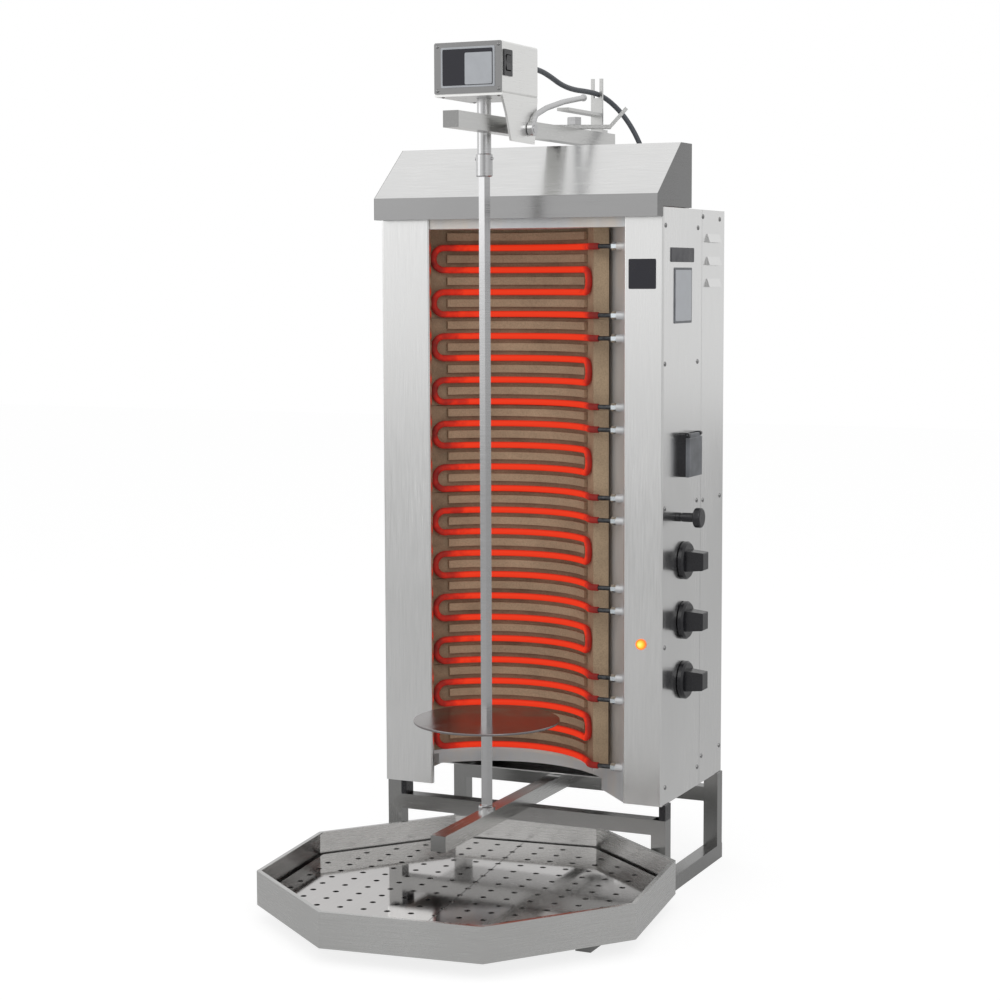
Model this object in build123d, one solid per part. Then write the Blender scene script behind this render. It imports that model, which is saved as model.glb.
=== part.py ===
from build123d import *
import math
import os

os.makedirs("parts", exist_ok=True)

# All sizes are in millimetres. The model is laid out round the spit: X to the right,
# Y to the back, Z up, with the spit's axis at X = 0, Y = 0 and the floor at Z = 0.

# Sheet steel and square tube
sheet = 1.5
tube = 20.0
tube_wall = 1.5
glide_gap = 0.3

# Stand
stand_width = 405.0
rail_front = -139.0
rail_rear = 338.0
front_post_front = 113.0
cross_bar_top = 102.0
lower_arm_front = -141.0
column_clearance = 8.0
cap_length = 8.0

# Casing of the heater
body_width = 401.0
body_front = 103.0
body_depth = 234.0
body_bottom = 123.0
body_height = 770.0
left_panel_width = 70.5
right_panel_width = 53.5
front_return = 22.0
control_panel_depth = 144.0
panel_seam = 0.5
inner_return = 6.0
rear_fold = 20.0
seam_fold = 18.0
wall_setback = 3.0
wall_clearance = 2.0
side_wall_depth = 116.0
deck_front = 224.0
deck_gap = 0.2

# Hood
hood_overhang = 20.5
hood_band = 28.0
hood_drop = 12.0
hood_top_rise = 83.5
hood_slope_run = 84.0
hood_top_depth = 40.0
hood_flange = 14.0

# Curved heater
arc_x = -25.0
terminal_depth = 114.7822
arc_to_opening = 38.0
element_radius = 4.25
roof_space = 24.3
floor_space = 38.9
pass_angle = 50.0
end_angle = 61.0
passes = 4
brick_count = 6
brick_thickness = 20.0
brick_angle = 68.0
brick_right_angle = 61.0
brick_gap = 0.6
brick_clearance = 1.25
first_brick_rise = 24.2
rib_height = 10.0
rib_angle = 47.5
rib_depth = 5.0
field_rise = 0.3
carrier_angle = 50.0
carrier_clearance = 0.5
ledge_lip = 5.0
apron_depth = 24.0
terminal_bend = 12.0
terminal_radius = 3.0
terminal_end = 5.0
terminal_tip = 4.0
terminal_play = 0.3
boss_radius = 5.5
boss_inset = 5.6
boss_rear = 8.0
nut_width = 9.0
nut_length = 7.0

# Spit
shaft_radius = 8.75
sleeve_radius = 10.5
sleeve_drop = 24.2
sleeve_length = 28.4
sleeve_socket = 18.0
rod_side = 10.0
rod_turn = -20.0
rod_bottom = 129.3
pin_radius = 3.0
pin_length = 6.0
running_clearance = 0.05
disc_radius = 94.0
disc_thickness = 3.0
disc_top = 241.5
collar_radius = 9.5
collar_length = 16.0
screw_reach = 34.0
bearing_radius = 11.0

# Upper arm and drive
upper_arm_front = -135.0
hood_to_arm = 6.5
arm_to_shaft = 1.25
motor_width = 92.0
motor_front = -46.5
motor_depth = 107.5
motor_rise = 27.0
motor_height = 62.5
cover_lip = 7.5
bracket_thickness = 3.0
cheek_drop = 11.0
pivot_y = 34.0
pivot_rise = 7.0
pivot_radius = 5.0
lever_radius = 3.5
lever_offset = 4.0
lever_route = ((45.0, 29.0), (100.0, 40.5), (167.0, 50.5))
rocker_y = -30.0
rocker_drop = 26.0
rocker_inset = 3.0
rocker_pin = 1.5
clamp_y = 242.0
clamp_length = 98.0
clamp_width = 18.0
clamp_thickness = 5.0
clamp_turn = 24.8
clamp_tab = 34.0
guide_y = 321.0
guide_width = 16.8
guide_height = 73.0
guide_thickness = 4.0
guide_slot = 8.4
guide_slot_depth = 26.0
guide_leg = 118.0
guide_leg_rise = 22.0

# Controls on the right side
knob_y = 182.0
knob_heights = (435.6, 356.6, 277.2)
knob_radius = 25.0
knob_skirt = 7.0
knob_gap = 1.0
grip_height = 27.0
grip_length = 26.0
grip_reach = 23.0
spindle_radius = 3.0
switch_side = 40.0
switch_depth = 34.0
lock_y = 155.5
lock_z = 495.4
lock_stem_radius = 6.0
lock_stem = 26.0
lock_head_radius = 13.0
lock_head = 9.0
lock_stud_radius = 4.0
socket_y = 191.0
socket_z = 575.0
socket_width = 50.0
socket_height = 58.0
socket_depth = 8.0
lid_depth = 5.0
lid_gap = 0.3
lamp_inset = 28.5
lamp_z = 334.2
lamp_radius = 7.0

# Louvres of the rear cover
louvre_drops = (37.0, 67.0, 96.0)
louvre_length = 49.0
louvre_slot = 5.0
louvre_hood = 11.0

# Fat tray
tray_radius = 266.0
tray_y = -58.0
tray_turn = 6.8
tray_height = 44.0
tray_lip = 6.0
floor_rise = 13.0
floor_clearance = 1.0
leg_height = 11.5

# Cables
cable_radius = 3.5
gland_length = 25.0
gland_rise = 41.0
column_gland_length = 12.0
inlet_radius = 11.0

# Places worked out from the sizes above
half_stand = stand_width / 2
half_body = body_width / 2
body_top = body_bottom + body_height
body_rear = body_front + body_depth
slide_top = body_bottom - glide_gap
cross_bar_bottom = cross_bar_top - tube
rear_post_front = rail_rear - tube
lower_arm_top = cross_bar_top + tube
column_front = body_rear + column_clearance
column_rear = column_front + tube
upper_arm_left = shaft_radius + arm_to_shaft
upper_arm_right = upper_arm_left + tube
upper_arm_mid = upper_arm_left + tube / 2
hood_top = body_top + hood_top_rise
upper_arm_bottom = hood_top + hood_to_arm
upper_arm_top = upper_arm_bottom + tube
sleeve_top = upper_arm_bottom - sleeve_drop
sleeve_bottom = sleeve_top - sleeve_length
pivot_z = upper_arm_bottom + pivot_rise
cheek_bottom = upper_arm_bottom - cheek_drop
motor_bottom = upper_arm_top + motor_rise
left_opening = -half_body + left_panel_width
right_opening = half_body - right_panel_width
seam_y = body_front + control_panel_depth
lamp_x = half_body - lamp_inset
element_arc = right_opening - arc_x - arc_to_opening
end_cos = math.cos(math.radians(end_angle))
arc_y = terminal_depth - element_arc * end_cos + terminal_bend * (1 - end_cos)
brick_arc = element_arc + element_radius + brick_clearance
brick_back_arc = brick_arc + brick_thickness
bricks_top = body_top - roof_space
bricks_bottom = body_bottom + floor_space
brick_height = (bricks_top - bricks_bottom) / brick_count
element_pitch = brick_height / passes
first_pass_z = bricks_top - first_brick_rise
carrier_arc = brick_back_arc + carrier_clearance
wall_front = body_front + wall_setback
to_edge_x = right_opening - arc_x
to_edge_y = wall_front - arc_y
wing_angle = math.degrees(
    math.atan2(to_edge_x, to_edge_y) - math.acos(carrier_arc / math.hypot(to_edge_x, to_edge_y)))
motor_rear = motor_front + motor_depth
motor_top = motor_bottom + motor_height
hood_front = body_front - hood_overhang
hood_bottom = body_top - hood_drop
hood_rear = hood_front + hood_slope_run + hood_top_depth
tray_bottom = tube
tray_reach = tray_radius * math.cos(math.radians(22.5 - tray_turn))
roof_lip = roof_space - sheet
plan_mid_y = (tray_y - tray_reach + column_rear) / 2

# The cable's route, from the motor's gland through the fork to the column
cable_route = [
    (24.0, motor_rear + gland_length, motor_bottom + gland_rise),
    (24.0, motor_rear + gland_length + 30.0, motor_bottom + gland_rise),
    (22.0, 156.0, 1066.0),
    (20.5, 197.0, 1058.0),
    (20.0, 240.0, 1055.0),
    (20.0, 286.0, 1056.2),
    (20.0, 331.0, 1055.6),
    (30.0, 354.0, 1045.0),
    (48.0, 366.0, 1022.0),
    (68.0, 365.0, 988.0),
    (80.0, 364.0, 950.0),
    (80.0, 362.0, 914.0),
    (64.0, column_front + tube / 2, 884.0),
    (upper_arm_right + column_gland_length, column_front + tube / 2, 884.0),
]


def block(x0, x1, y0, y1, z0, z1):
    """A box between two corners."""
    centre = ((x0 + x1) / 2, (y0 + y1) / 2, (z0 + z1) / 2)
    return Pos(*centre) * Box(abs(x1 - x0), abs(y1 - y0), abs(z1 - z0))


def rod_x(x0, x1, y, z, radius):
    """A round bar along X."""
    return Pos((x0 + x1) / 2, y, z) * Rot(0, 90, 0) * Cylinder(radius, abs(x1 - x0))


def rod_y(x, y0, y1, z, radius):
    """A round bar along Y."""
    return Pos(x, (y0 + y1) / 2, z) * Rot(90, 0, 0) * Cylinder(radius, abs(y1 - y0))


def rod_z(x, y, z0, z1, radius):
    """A round bar along Z."""
    return Pos(x, y, (z0 + z1) / 2) * Cylinder(radius, abs(z1 - z0))


def tube_y(x0, y0, y1, z0):
    """Square tube along Y, open at both ends."""
    w = tube_wall
    outer = block(x0, x0 + tube, y0, y1, z0, z0 + tube)
    return outer - block(x0 + w, x0 + tube - w, y0, y1, z0 + w, z0 + tube - w)


def tube_x(x0, x1, y0, z0):
    """Square tube along X, open at both ends."""
    w = tube_wall
    outer = block(x0, x1, y0, y0 + tube, z0, z0 + tube)
    return outer - block(x0, x1, y0 + w, y0 + tube - w, z0 + w, z0 + tube - w)


def tube_z(x0, y0, z0, z1):
    """Square tube along Z, open at both ends."""
    w = tube_wall
    outer = block(x0, x0 + tube, y0, y0 + tube, z0, z1)
    return outer - block(x0 + w, x0 + tube - w, y0 + w, y0 + tube - w, z0, z1)


def profile_x(points, x0, x1):
    """An outline in Y and Z, drawn out along X."""
    face = Plane.YZ.offset(min(x0, x1)) * make_face(Polyline(*points, close=True))
    return extrude(face, abs(x1 - x0))


def profile_z(points, z0, z1):
    """An outline in X and Y, drawn up from z0 to z1."""
    face = Plane.XY.offset(z0) * make_face(Polyline(*points, close=True))
    return extrude(face, z1 - z0)


def on_arc(radius, degrees):
    """A point of the heater's arc, counted from the middle towards the right."""
    a = math.radians(degrees)
    return arc_x + radius * math.sin(a), arc_y + radius * math.cos(a)


def arc_sector(inner, outer, left, right, z0, z1):
    """A slice of a ring about the heater's axis, from one angle to the other."""
    inner_ends = [on_arc(inner, a) for a in (-left, 0, right)]
    outer_ends = [on_arc(outer, a) for a in (right, 0, -left)]
    edges = [
        ThreePointArc(*inner_ends),
        Line(inner_ends[2], outer_ends[0]),
        ThreePointArc(*outer_ends),
        Line(outer_ends[2], inner_ends[0]),
    ]
    face = Plane.XY.offset(z0) * make_face(edges)
    return extrude(face, z1 - z0)


def save(name, *pieces):
    """Write one node, moved so that the origin is the middle of the floor plan."""
    moved = [Pos(0, -plan_mid_y, 0) * piece for piece in pieces]
    solids = [s for piece in moved for s in piece.solids()]
    shape = solids[0] if len(solids) == 1 else Compound(children=solids)
    export_step(shape, f"parts/{name}.step")


# Stand

def side_frame(side, front_top):
    """Floor rail with its front and rear posts."""
    x0 = half_stand - tube if side > 0 else -half_stand
    rail = tube_y(x0, rail_front, rail_rear, 0)
    front_post = tube_z(x0, front_post_front, tube, front_top)
    rear_post = tube_z(x0, rear_post_front, tube, slide_top)
    return rail + front_post + rear_post


def cross_bar(y0):
    """Tube between the two side frames."""
    return tube_x(-half_stand + tube, half_stand - tube, y0, cross_bar_bottom)


def lower_arm():
    """Arm that carries the spit's foot, on top of both cross bars."""
    return tube_y(-tube / 2, lower_arm_front, column_rear, cross_bar_top)


def end_cap(x0, y_open, z0, outward):
    """Plug for the open end of a tube along Y."""
    w = tube_wall + 0.1
    plate = block(x0, x0 + tube, y_open, y_open + outward * sheet, z0, z0 + tube)
    y_in = y_open - outward * cap_length
    return plate + block(x0 + w, x0 + tube - w, y_open, y_in, z0 + w, z0 + tube - w)


def tube_caps():
    """Plugs of the rails and of both arms."""
    return [
        end_cap(-half_stand, rail_front, 0, -1),
        end_cap(half_stand - tube, rail_front, 0, -1),
        end_cap(-half_stand, rail_rear, 0, 1),
        end_cap(half_stand - tube, rail_rear, 0, 1),
        end_cap(-tube / 2, lower_arm_front, cross_bar_top, -1),
        end_cap(upper_arm_left, upper_arm_front, upper_arm_bottom, -1),
    ]


def glides():
    """Plastic blocks that the casing slides on."""
    inner = -half_stand + tube
    left = block(inner, inner + 8, front_post_front, front_post_front + tube,
                 cross_bar_top, slide_top)
    right = block(half_stand - 9, half_stand, front_post_front, front_post_front + tube,
                  cross_bar_top, slide_top)
    return [left, right]


def column():
    """Rear column on a foot plate, up to the underside of the upper arm."""
    plate_top = lower_arm_top + 5
    foot = block(-tube / 2, upper_arm_right, column_front, column_rear,
                 lower_arm_top, plate_top)
    return foot + tube_z(upper_arm_left, column_front, plate_top, upper_arm_bottom)


def upper_arm():
    """Arm that carries the drive, welded on the column."""
    return tube_y(upper_arm_left, upper_arm_front, column_rear, upper_arm_bottom)


def foot_bearing():
    """Cup on the lower arm in which the spit's pin turns."""
    top = rod_bottom - glide_gap
    cup = rod_z(0, 0, lower_arm_top, top, bearing_radius)
    cup = chamfer(cup.edges().group_by(Axis.Z)[-1], 1.5)
    hole = rod_z(0, 0, lower_arm_top, top, pin_radius + running_clearance)
    return cup - hole


# Spit

def drive_shaft():
    """Round shaft from the gearbox, with the socket for the rod below it."""
    shaft = rod_z(0, 0, sleeve_top, motor_bottom + 14, shaft_radius)
    sleeve = rod_z(0, 0, sleeve_bottom, sleeve_top, sleeve_radius)
    sleeve = chamfer(sleeve.edges().filter_by(GeomType.CIRCLE), 1.2)
    side = rod_side + 0.4
    socket = Pos(0, 0, sleeve_bottom + sleeve_socket / 2) * Rot(0, 0, rod_turn)
    cross_pin = rod_x(-sleeve_radius - 1.5, sleeve_radius + 1.5, 0, sleeve_top - 6, 2.0)
    return shaft + sleeve + cross_pin - socket * Box(side, side, sleeve_socket)


def spit_rod():
    """Square rod with a turned pin at its foot."""
    top = sleeve_bottom + sleeve_socket
    length = top - rod_bottom
    bar = Pos(0, 0, rod_bottom + length / 2) * Rot(0, 0, rod_turn) * Box(rod_side, rod_side, length)
    return bar + rod_z(0, 0, rod_bottom - pin_length, rod_bottom, pin_radius)


def meat_disc():
    """Round plate with a collar that slides on the square rod."""
    plate = rod_z(0, 0, disc_top - disc_thickness, disc_top, disc_radius)
    plate = fillet(plate.edges().filter_by(GeomType.CIRCLE), 1.0)
    collar_top = disc_top - disc_thickness
    collar = rod_z(0, 0, collar_top - collar_length, collar_top, collar_radius)
    side = rod_side + 2 * running_clearance
    hole = Pos(0, 0, disc_top) * Rot(0, 0, rod_turn) * Box(side, side, 4 * collar_length)
    tapped = Rot(0, 0, rod_turn) * rod_x(-collar_radius - 2, 0, 0, collar_top - collar_length / 2, 2.5)
    return plate + collar - hole - tapped


def disc_screw():
    """Thumb screw that clamps the disc's collar to the rod."""
    z = disc_top - disc_thickness - collar_length / 2
    stem = rod_x(-rod_side / 2 - 0.3 - screw_reach, -rod_side / 2 - 0.3, 0, z, 2.5)
    head = rod_x(-rod_side / 2 - screw_reach - 6, -rod_side / 2 - screw_reach + 2, 0, z, 4.5)
    return Rot(0, 0, rod_turn) * (stem + head)


# Drive

def motor_housing():
    """Folded steel box, open at the front, with a hole for the shaft."""
    half = motor_width / 2
    shell = block(-half, half, motor_front + sheet, motor_rear, motor_bottom, motor_top)
    shell = fillet(shell.edges().filter_by(Axis.Y), 2.5)
    inside = block(-half + sheet, half - sheet, motor_front, motor_rear - sheet,
                   motor_bottom + sheet, motor_top - sheet)
    opening = rod_z(0, 0, motor_bottom, motor_bottom + sheet, shaft_radius + 1)
    switch_z = motor_top - rocker_drop
    switch_hole = block(half - sheet, half, rocker_y - 9, rocker_y + 9, switch_z - 12, switch_z + 12)
    cable_hole = rod_y(cable_route[0][0], motor_rear - sheet, motor_rear, cable_route[0][2], 4.5)
    return shell - inside - opening - switch_hole - cable_hole


def motor_cover():
    """Front cover with a folded rim that fits inside the box."""
    half = motor_width / 2
    rim = sheet + 0.2
    plate = block(-half, half, motor_front, motor_front + sheet, motor_bottom, motor_top)
    plate = fillet(plate.edges().filter_by(Axis.Y), 2.5)
    y0, y1 = motor_front + sheet, motor_front + cover_lip
    lip = block(-half + rim, half - rim, y0, y1, motor_bottom + rim, motor_top - rim)
    hollow = block(-half + rim + sheet, half - rim - sheet, y0, y1,
                   motor_bottom + rim + sheet, motor_top - rim - sheet)
    return plate + (lip - hollow)


def gear_motor():
    """Gearbox with its motor, standing on the floor of the box."""
    floor = motor_bottom + sheet
    gearbox = block(-25, 25, -25, 25, floor, floor + 26)
    gearbox = fillet(gearbox.edges().filter_by(Axis.Z), 4)
    motor = rod_y(0, 25, 52, floor + 22, 20)
    bore = rod_z(0, 0, floor, motor_bottom + 15, shaft_radius + running_clearance)
    return gearbox + motor - bore


def motor_bracket():
    """Plate under the box with a cheek that hangs down beside the arm."""
    half = motor_width / 2
    t = bracket_thickness
    plate = block(-half, half, motor_front + sheet, motor_rear, motor_bottom - t, motor_bottom)
    plate -= rod_z(0, 0, motor_bottom - t, motor_bottom, shaft_radius + 1)
    outline = [
        (motor_front + sheet, motor_bottom - t), (motor_rear, motor_bottom - t),
        (pivot_y + 18, cheek_bottom), (pivot_y - 52, cheek_bottom + 1),
        (pivot_y - 66, pivot_z + 16),
    ]
    cheek = profile_x(outline, half - t, half)
    cheek -= rod_x(half - t, half, pivot_y, pivot_z, pivot_radius + running_clearance)
    return plate + cheek


def pivot_bolt():
    """Stepped bolt from the arm through the cheek."""
    half = motor_width / 2
    t = bracket_thickness
    spacer = rod_x(upper_arm_right, half - t, pivot_y, pivot_z, pivot_radius + 3)
    shank = rod_x(half - t, half + 1 + 2 * lever_offset, pivot_y, pivot_z, pivot_radius)
    return spacer + shank


def release_lever():
    """Bent rod that turns on the pivot bolt and reaches back over the arm."""
    half = motor_width / 2
    x = half + 0.5 + lever_offset
    eye = rod_x(x - lever_offset, x + lever_offset, pivot_y, pivot_z, 9)
    eye = chamfer(eye.edges().filter_by(GeomType.CIRCLE), 0.8)
    start = (x, pivot_y, pivot_z)
    knee = (x, pivot_y + 10, pivot_z + 18)
    points = [start, knee] + [(x, pivot_y + y, pivot_z + z) for y, z in lever_route]
    path = FilletPolyline(*points, radius=[14, 60, 200])
    section = Plane(path @ 0, z_dir=path % 0) * Circle(lever_radius)
    grip_end = Pos(*points[-1]) * Sphere(lever_radius + 1.2)
    hole = rod_x(x - 2 * lever_offset, x + 2 * lever_offset, pivot_y, pivot_z,
                 pivot_radius + running_clearance)
    return eye + sweep(section, path) + grip_end - hole


def rocker_frame():
    """Frame of the rocker switch on the motor's right side."""
    half = motor_width / 2
    y, z = rocker_y, motor_top - rocker_drop
    frame = block(half, half + 1.5, y - 12, y + 12, z - 16, z + 16)
    frame = fillet(frame.edges().filter_by(Axis.X), 1.5)
    well = block(half - 12, half, y - 8.5, y + 8.5, z - 11.5, z + 11.5)
    window = block(half - 10.5, half + 1.5, y - 7, y + 7, z - 10, z + 10)
    bore = rod_y(half - rocker_inset, y - 8.5, y + 8.5, z, rocker_pin + running_clearance)
    return frame + well - window - bore


def rocker():
    """Rocker with a shallow ridge, which tilts about its middle."""
    half = motor_width / 2
    y, z = rocker_y, motor_top - rocker_drop
    outline = [(half - 6, z - 7), (half + 2.6, z - 8.8), (half + 1.4, z),
               (half + 2.6, z + 8.8), (half - 6, z + 7)]
    face = Plane.XZ.offset(-y - 6.6) * make_face(Polyline(*outline, close=True))
    pin = rod_y(half - rocker_inset, y - 8.2, y + 8.2, z, rocker_pin)
    return extrude(face, 13.2) + pin


def motor_gland():
    """Tapered strain relief on the back of the motor."""
    x, y, z = cable_route[0]
    start = motor_rear
    nut = rod_y(x, start, start + 5, z, 8)
    taper = Pos(x, start + 5, z) * Rot(-90, 0, 0) * Cone(
        6.5, 4.6, gland_length - 5, align=(Align.CENTER, Align.CENTER, Align.MIN))
    return nut + taper


def column_gland():
    """Strain relief where the cable goes into the column."""
    x, y, z = cable_route[-1]
    nut = rod_x(upper_arm_right, upper_arm_right + 5, y, z, 8)
    taper = Pos(upper_arm_right + 5, y, z) * Rot(0, 90, 0) * Cone(
        6.5, 4.6, column_gland_length - 5, align=(Align.CENTER, Align.CENTER, Align.MIN))
    return nut + taper


def corner_radii(points):
    """The largest arc that each corner's two runs allow."""
    radii = []
    for a, b, c in zip(points, points[1:], points[2:]):
        first, second = Vector(*b) - Vector(*a), Vector(*c) - Vector(*b)
        half_turn = math.radians(first.get_angle(second)) / 2
        radii.append(0.45 * min(first.length, second.length) / math.tan(half_turn))
    return radii


def motor_cable():
    """The cable as a tube along straight runs and arcs."""
    radii = corner_radii(cable_route)
    print("cable radii", [round(r) for r in radii])
    path = FilletPolyline(*cable_route, radius=radii)
    section = Plane(path @ 0, z_dir=path % 0) * Circle(cable_radius)
    cable = sweep(section, path)
    ideal = math.pi * cable_radius ** 2 * path.length
    print("cable length", round(path.length, 1), "volume ratio", round(cable.volume / ideal, 4))
    return cable


# Clamp and cable fork on the upper arm

def clamp_lever():
    """Flat bar across the arm with a tab bent up at its right end."""
    half = clamp_length / 2
    w = clamp_width / 2
    t = clamp_thickness
    bar = block(-half, half, -w, w, 0, t)
    bar = fillet(bar.edges().filter_by(Axis.Z).group_by(Axis.X)[0], w - 1)
    bend = math.radians(48)
    tip_x, tip_z = half + clamp_tab * math.cos(bend), clamp_tab * math.sin(bend)
    off_x, off_z = -t * math.sin(bend), t * math.cos(bend)
    outline = [(half - t, 0), (half, 0), (tip_x, tip_z), (tip_x + off_x, tip_z + off_z),
               (half - t * 0.4, t), (half - t, t)]
    tab = extrude(Plane.XZ.offset(-w) * make_face(Polyline(*outline, close=True)), clamp_width)
    hole = rod_z(0, 0, 0, t, 5 + running_clearance)
    lever = bar + tab - hole
    return Pos(upper_arm_mid, clamp_y, upper_arm_top + glide_gap) * Rot(0, 0, clamp_turn) * lever


def clamp_bolt():
    """Bolt on which the clamp bar turns."""
    seat = upper_arm_top
    top = seat + 2 * glide_gap + clamp_thickness
    shank = rod_z(upper_arm_mid, clamp_y, seat, top, 5)
    head = Pos(upper_arm_mid, clamp_y, top) * extrude(RegularPolygon(10, 6), 10)
    return shank + head


def cable_fork():
    """Upright strip with a slot for the cable and a leg that the lever rests on."""
    half = guide_width / 2
    left, right = upper_arm_mid - half, upper_arm_mid + half
    top = upper_arm_top + guide_height
    strip = block(left, right, guide_y, guide_y + guide_thickness, upper_arm_top, top)
    slot_half = guide_slot / 2
    slot = block(upper_arm_mid - slot_half, upper_arm_mid + slot_half,
                 guide_y, guide_y + guide_thickness, top - guide_slot_depth, top)
    foot = block(left, right, guide_y, guide_y + 20, upper_arm_top, upper_arm_top + guide_thickness)
    leg_z = upper_arm_top + guide_leg_rise
    leg = block(left, right, guide_y - guide_leg, guide_y, leg_z, leg_z + guide_thickness)
    return strip - slot + foot + leg


# Casing

def left_front_panel():
    """Left front panel, folded back at its outer and inner edges."""
    x0, x1 = -half_body, left_opening
    front = block(x0, x1, body_front, body_front + front_return, body_bottom, body_top)
    front = fillet(front.edges().filter_by(Axis.Z).group_by(Axis.Y)[0], 2.5)
    hollow = block(x0 + sheet, x1 - sheet, body_front + sheet, body_front + front_return,
                   body_bottom, body_top)
    trim = block(x1 - sheet, x1, body_front + inner_return, body_front + front_return,
                 body_bottom, body_top)
    return front - hollow - trim


def right_front_panel():
    """Right front panel, folded back, with the lamp's hole."""
    x0, x1 = right_opening, half_body
    front = block(x0, x1, body_front, body_front + front_return, body_bottom, body_top)
    front = fillet(front.edges().filter_by(Axis.Z).group_by(Axis.Y)[0], 2.5)
    hollow = block(x0 + sheet, x1 - sheet, body_front + sheet, body_front + front_return,
                   body_bottom, body_top)
    trim = block(x0, x0 + sheet, body_front + inner_return, body_front + front_return,
                 body_bottom, body_top)
    hole = rod_y(lamp_x, body_front, body_front + sheet, lamp_z, lamp_radius - 1.9)
    return front - hollow - trim - hole


def left_side_panel():
    """Left side with its rear edge folded in."""
    y0 = body_front + front_return
    side = block(-half_body, -half_body + sheet, y0, body_rear, body_bottom, body_top)
    fold = block(-half_body, -half_body + rear_fold, body_rear - sheet, body_rear, body_bottom, body_top)
    return side + fold


def control_panel():
    """Right side panel with the holes of its knobs, and its rear edge folded in."""
    y0 = body_front + front_return
    side = block(half_body - sheet, half_body, y0, seam_y, body_bottom, body_top)
    fold = block(half_body - seam_fold, half_body, seam_y - sheet, seam_y,
                 body_bottom + 2 * sheet, body_top - 2 * sheet)
    panel = side + fold
    for z in knob_heights:
        panel -= rod_x(half_body - sheet, half_body, knob_y, z, spindle_radius + 1)
    panel -= rod_x(half_body - sheet, half_body, lock_y, lock_z, lock_stud_radius + 0.5)
    return panel


def louvre(z):
    """Sloping hood over one vent."""
    y0 = seam_y + 19
    reach = 4.5
    x = half_body
    outline = [(x - 0.2, z + louvre_hood / 2), (x + 1, z + louvre_hood / 2),
               (x + reach, z - louvre_hood / 2), (x + reach - 1, z - louvre_hood / 2),
               (x - 0.2, z + louvre_hood / 2 - 2.5)]
    face = Plane.XZ.offset(-(y0 + louvre_length)) * make_face(Polyline(*outline, close=True))
    hood = extrude(face, louvre_length)
    ends = [(x - 0.2, z + louvre_hood / 2), (x + reach, z - louvre_hood / 2), (x - 0.2, z - louvre_hood / 2)]
    cheek = make_face(Polyline(*ends, close=True))
    near = extrude(Plane.XZ.offset(-(y0 + 1)) * cheek, 1)
    far = extrude(Plane.XZ.offset(-(y0 + louvre_length)) * cheek, 1)
    slot = block(x - sheet, x, y0 + 2, y0 + louvre_length - 2,
                 z - louvre_hood / 2, z - louvre_hood / 2 + louvre_slot)
    return hood + near + far, slot


def rear_cover():
    """Back panel and right rear side in one folded sheet, with vents."""
    y0 = seam_y + panel_seam
    side = block(half_body - sheet, half_body, y0, body_rear, body_bottom, body_top)
    back = block(-half_body + rear_fold + panel_seam, half_body, body_rear - sheet, body_rear,
                 body_bottom, body_top)
    fold = block(half_body - seam_fold, half_body, y0, y0 + sheet,
                 body_bottom + 2 * sheet, body_top - 2 * sheet)
    cover = side + back + fold
    for drop in louvre_drops:
        hood, slot = louvre(body_top - drop)
        cover = cover - slot + hood
    inlet = rod_y(half_body - 40, body_rear - sheet, body_rear, body_bottom + 45, inlet_radius - 3)
    return cover - inlet


def left_wall_x():
    """Face of the left inner wall, beside the bricks."""
    return on_arc(brick_back_arc, -brick_angle)[0] - wall_clearance


def wing_point(offset, x):
    """Point at the given X on a line tangent to the carrier's arc, set out by the offset."""
    start_x, start_y = on_arc(carrier_arc + offset, wing_angle)
    return x, start_y - (x - start_x) * math.tan(math.radians(wing_angle))


def top_deck():
    """Flat plate that closes the casing at its top."""
    return block(-half_body + sheet + deck_gap, half_body - sheet - deck_gap,
                 body_front + front_return, body_rear - sheet - deck_gap, body_top - sheet, body_top)


def bottom_deck():
    """Flat plate that closes the casing at its foot, cut away below the heater."""
    z0, z1 = body_bottom, body_bottom + sheet
    plate = block(-half_body + sheet + deck_gap, half_body - sheet - deck_gap,
                  body_front + front_return, body_rear - sheet - deck_gap, z0, z1)
    left = left_wall_x() - sheet - deck_gap
    corner = on_arc(carrier_arc + sheet + deck_gap, wing_angle)
    cut = [(left, wall_front), wing_point(sheet + deck_gap, right_opening), corner,
           (corner[0], deck_front), (left, deck_front)]
    return plate - profile_z(cut, z0, z1)


def left_reflector():
    """Inner side wall behind the left front panel."""
    x = left_wall_x()
    return block(x - sheet, x, body_front + sheet, body_front + side_wall_depth,
                 body_bottom, bricks_top)


def boss_ends():
    """Left and right end of the bosses that the terminals go through."""
    x = right_opening - (terminal_y() - wall_front) / math.tan(math.radians(wing_angle))
    return x - boss_inset, x + boss_rear


def right_reflector():
    """Slanting inner wall on the right, with a pressed boss round each terminal."""
    outline = [on_arc(carrier_arc, wing_angle), wing_point(0, right_opening),
               wing_point(sheet, right_opening), on_arc(carrier_arc + sheet, wing_angle)]
    wall = profile_z(outline, body_bottom, bricks_top)
    x0, x1 = boss_ends()
    for z in terminal_heights():
        wall += rod_x(x0, x1, terminal_y(), z, boss_radius)
        wall -= rod_x(x0, x1, terminal_y(), z, terminal_radius + terminal_play)
    return wall


def roof_plate():
    """Plate above the bricks, with a lip up to the top of the casing."""
    gap = 0.1
    x0, x1 = left_wall_x() - sheet, right_opening - gap
    y0, y1 = body_front + front_return + gap, body_front + side_wall_depth
    z0 = bricks_top
    plate = block(x0, x1, y0, y1, z0, z0 + sheet)
    ledge = block(left_opening + gap, x1, wall_front, y1, z0, z0 + sheet)
    edge = block(left_opening + gap, x1, wall_front, wall_front + sheet, z0, z0 + roof_lip)
    return plate + ledge + edge


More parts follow.
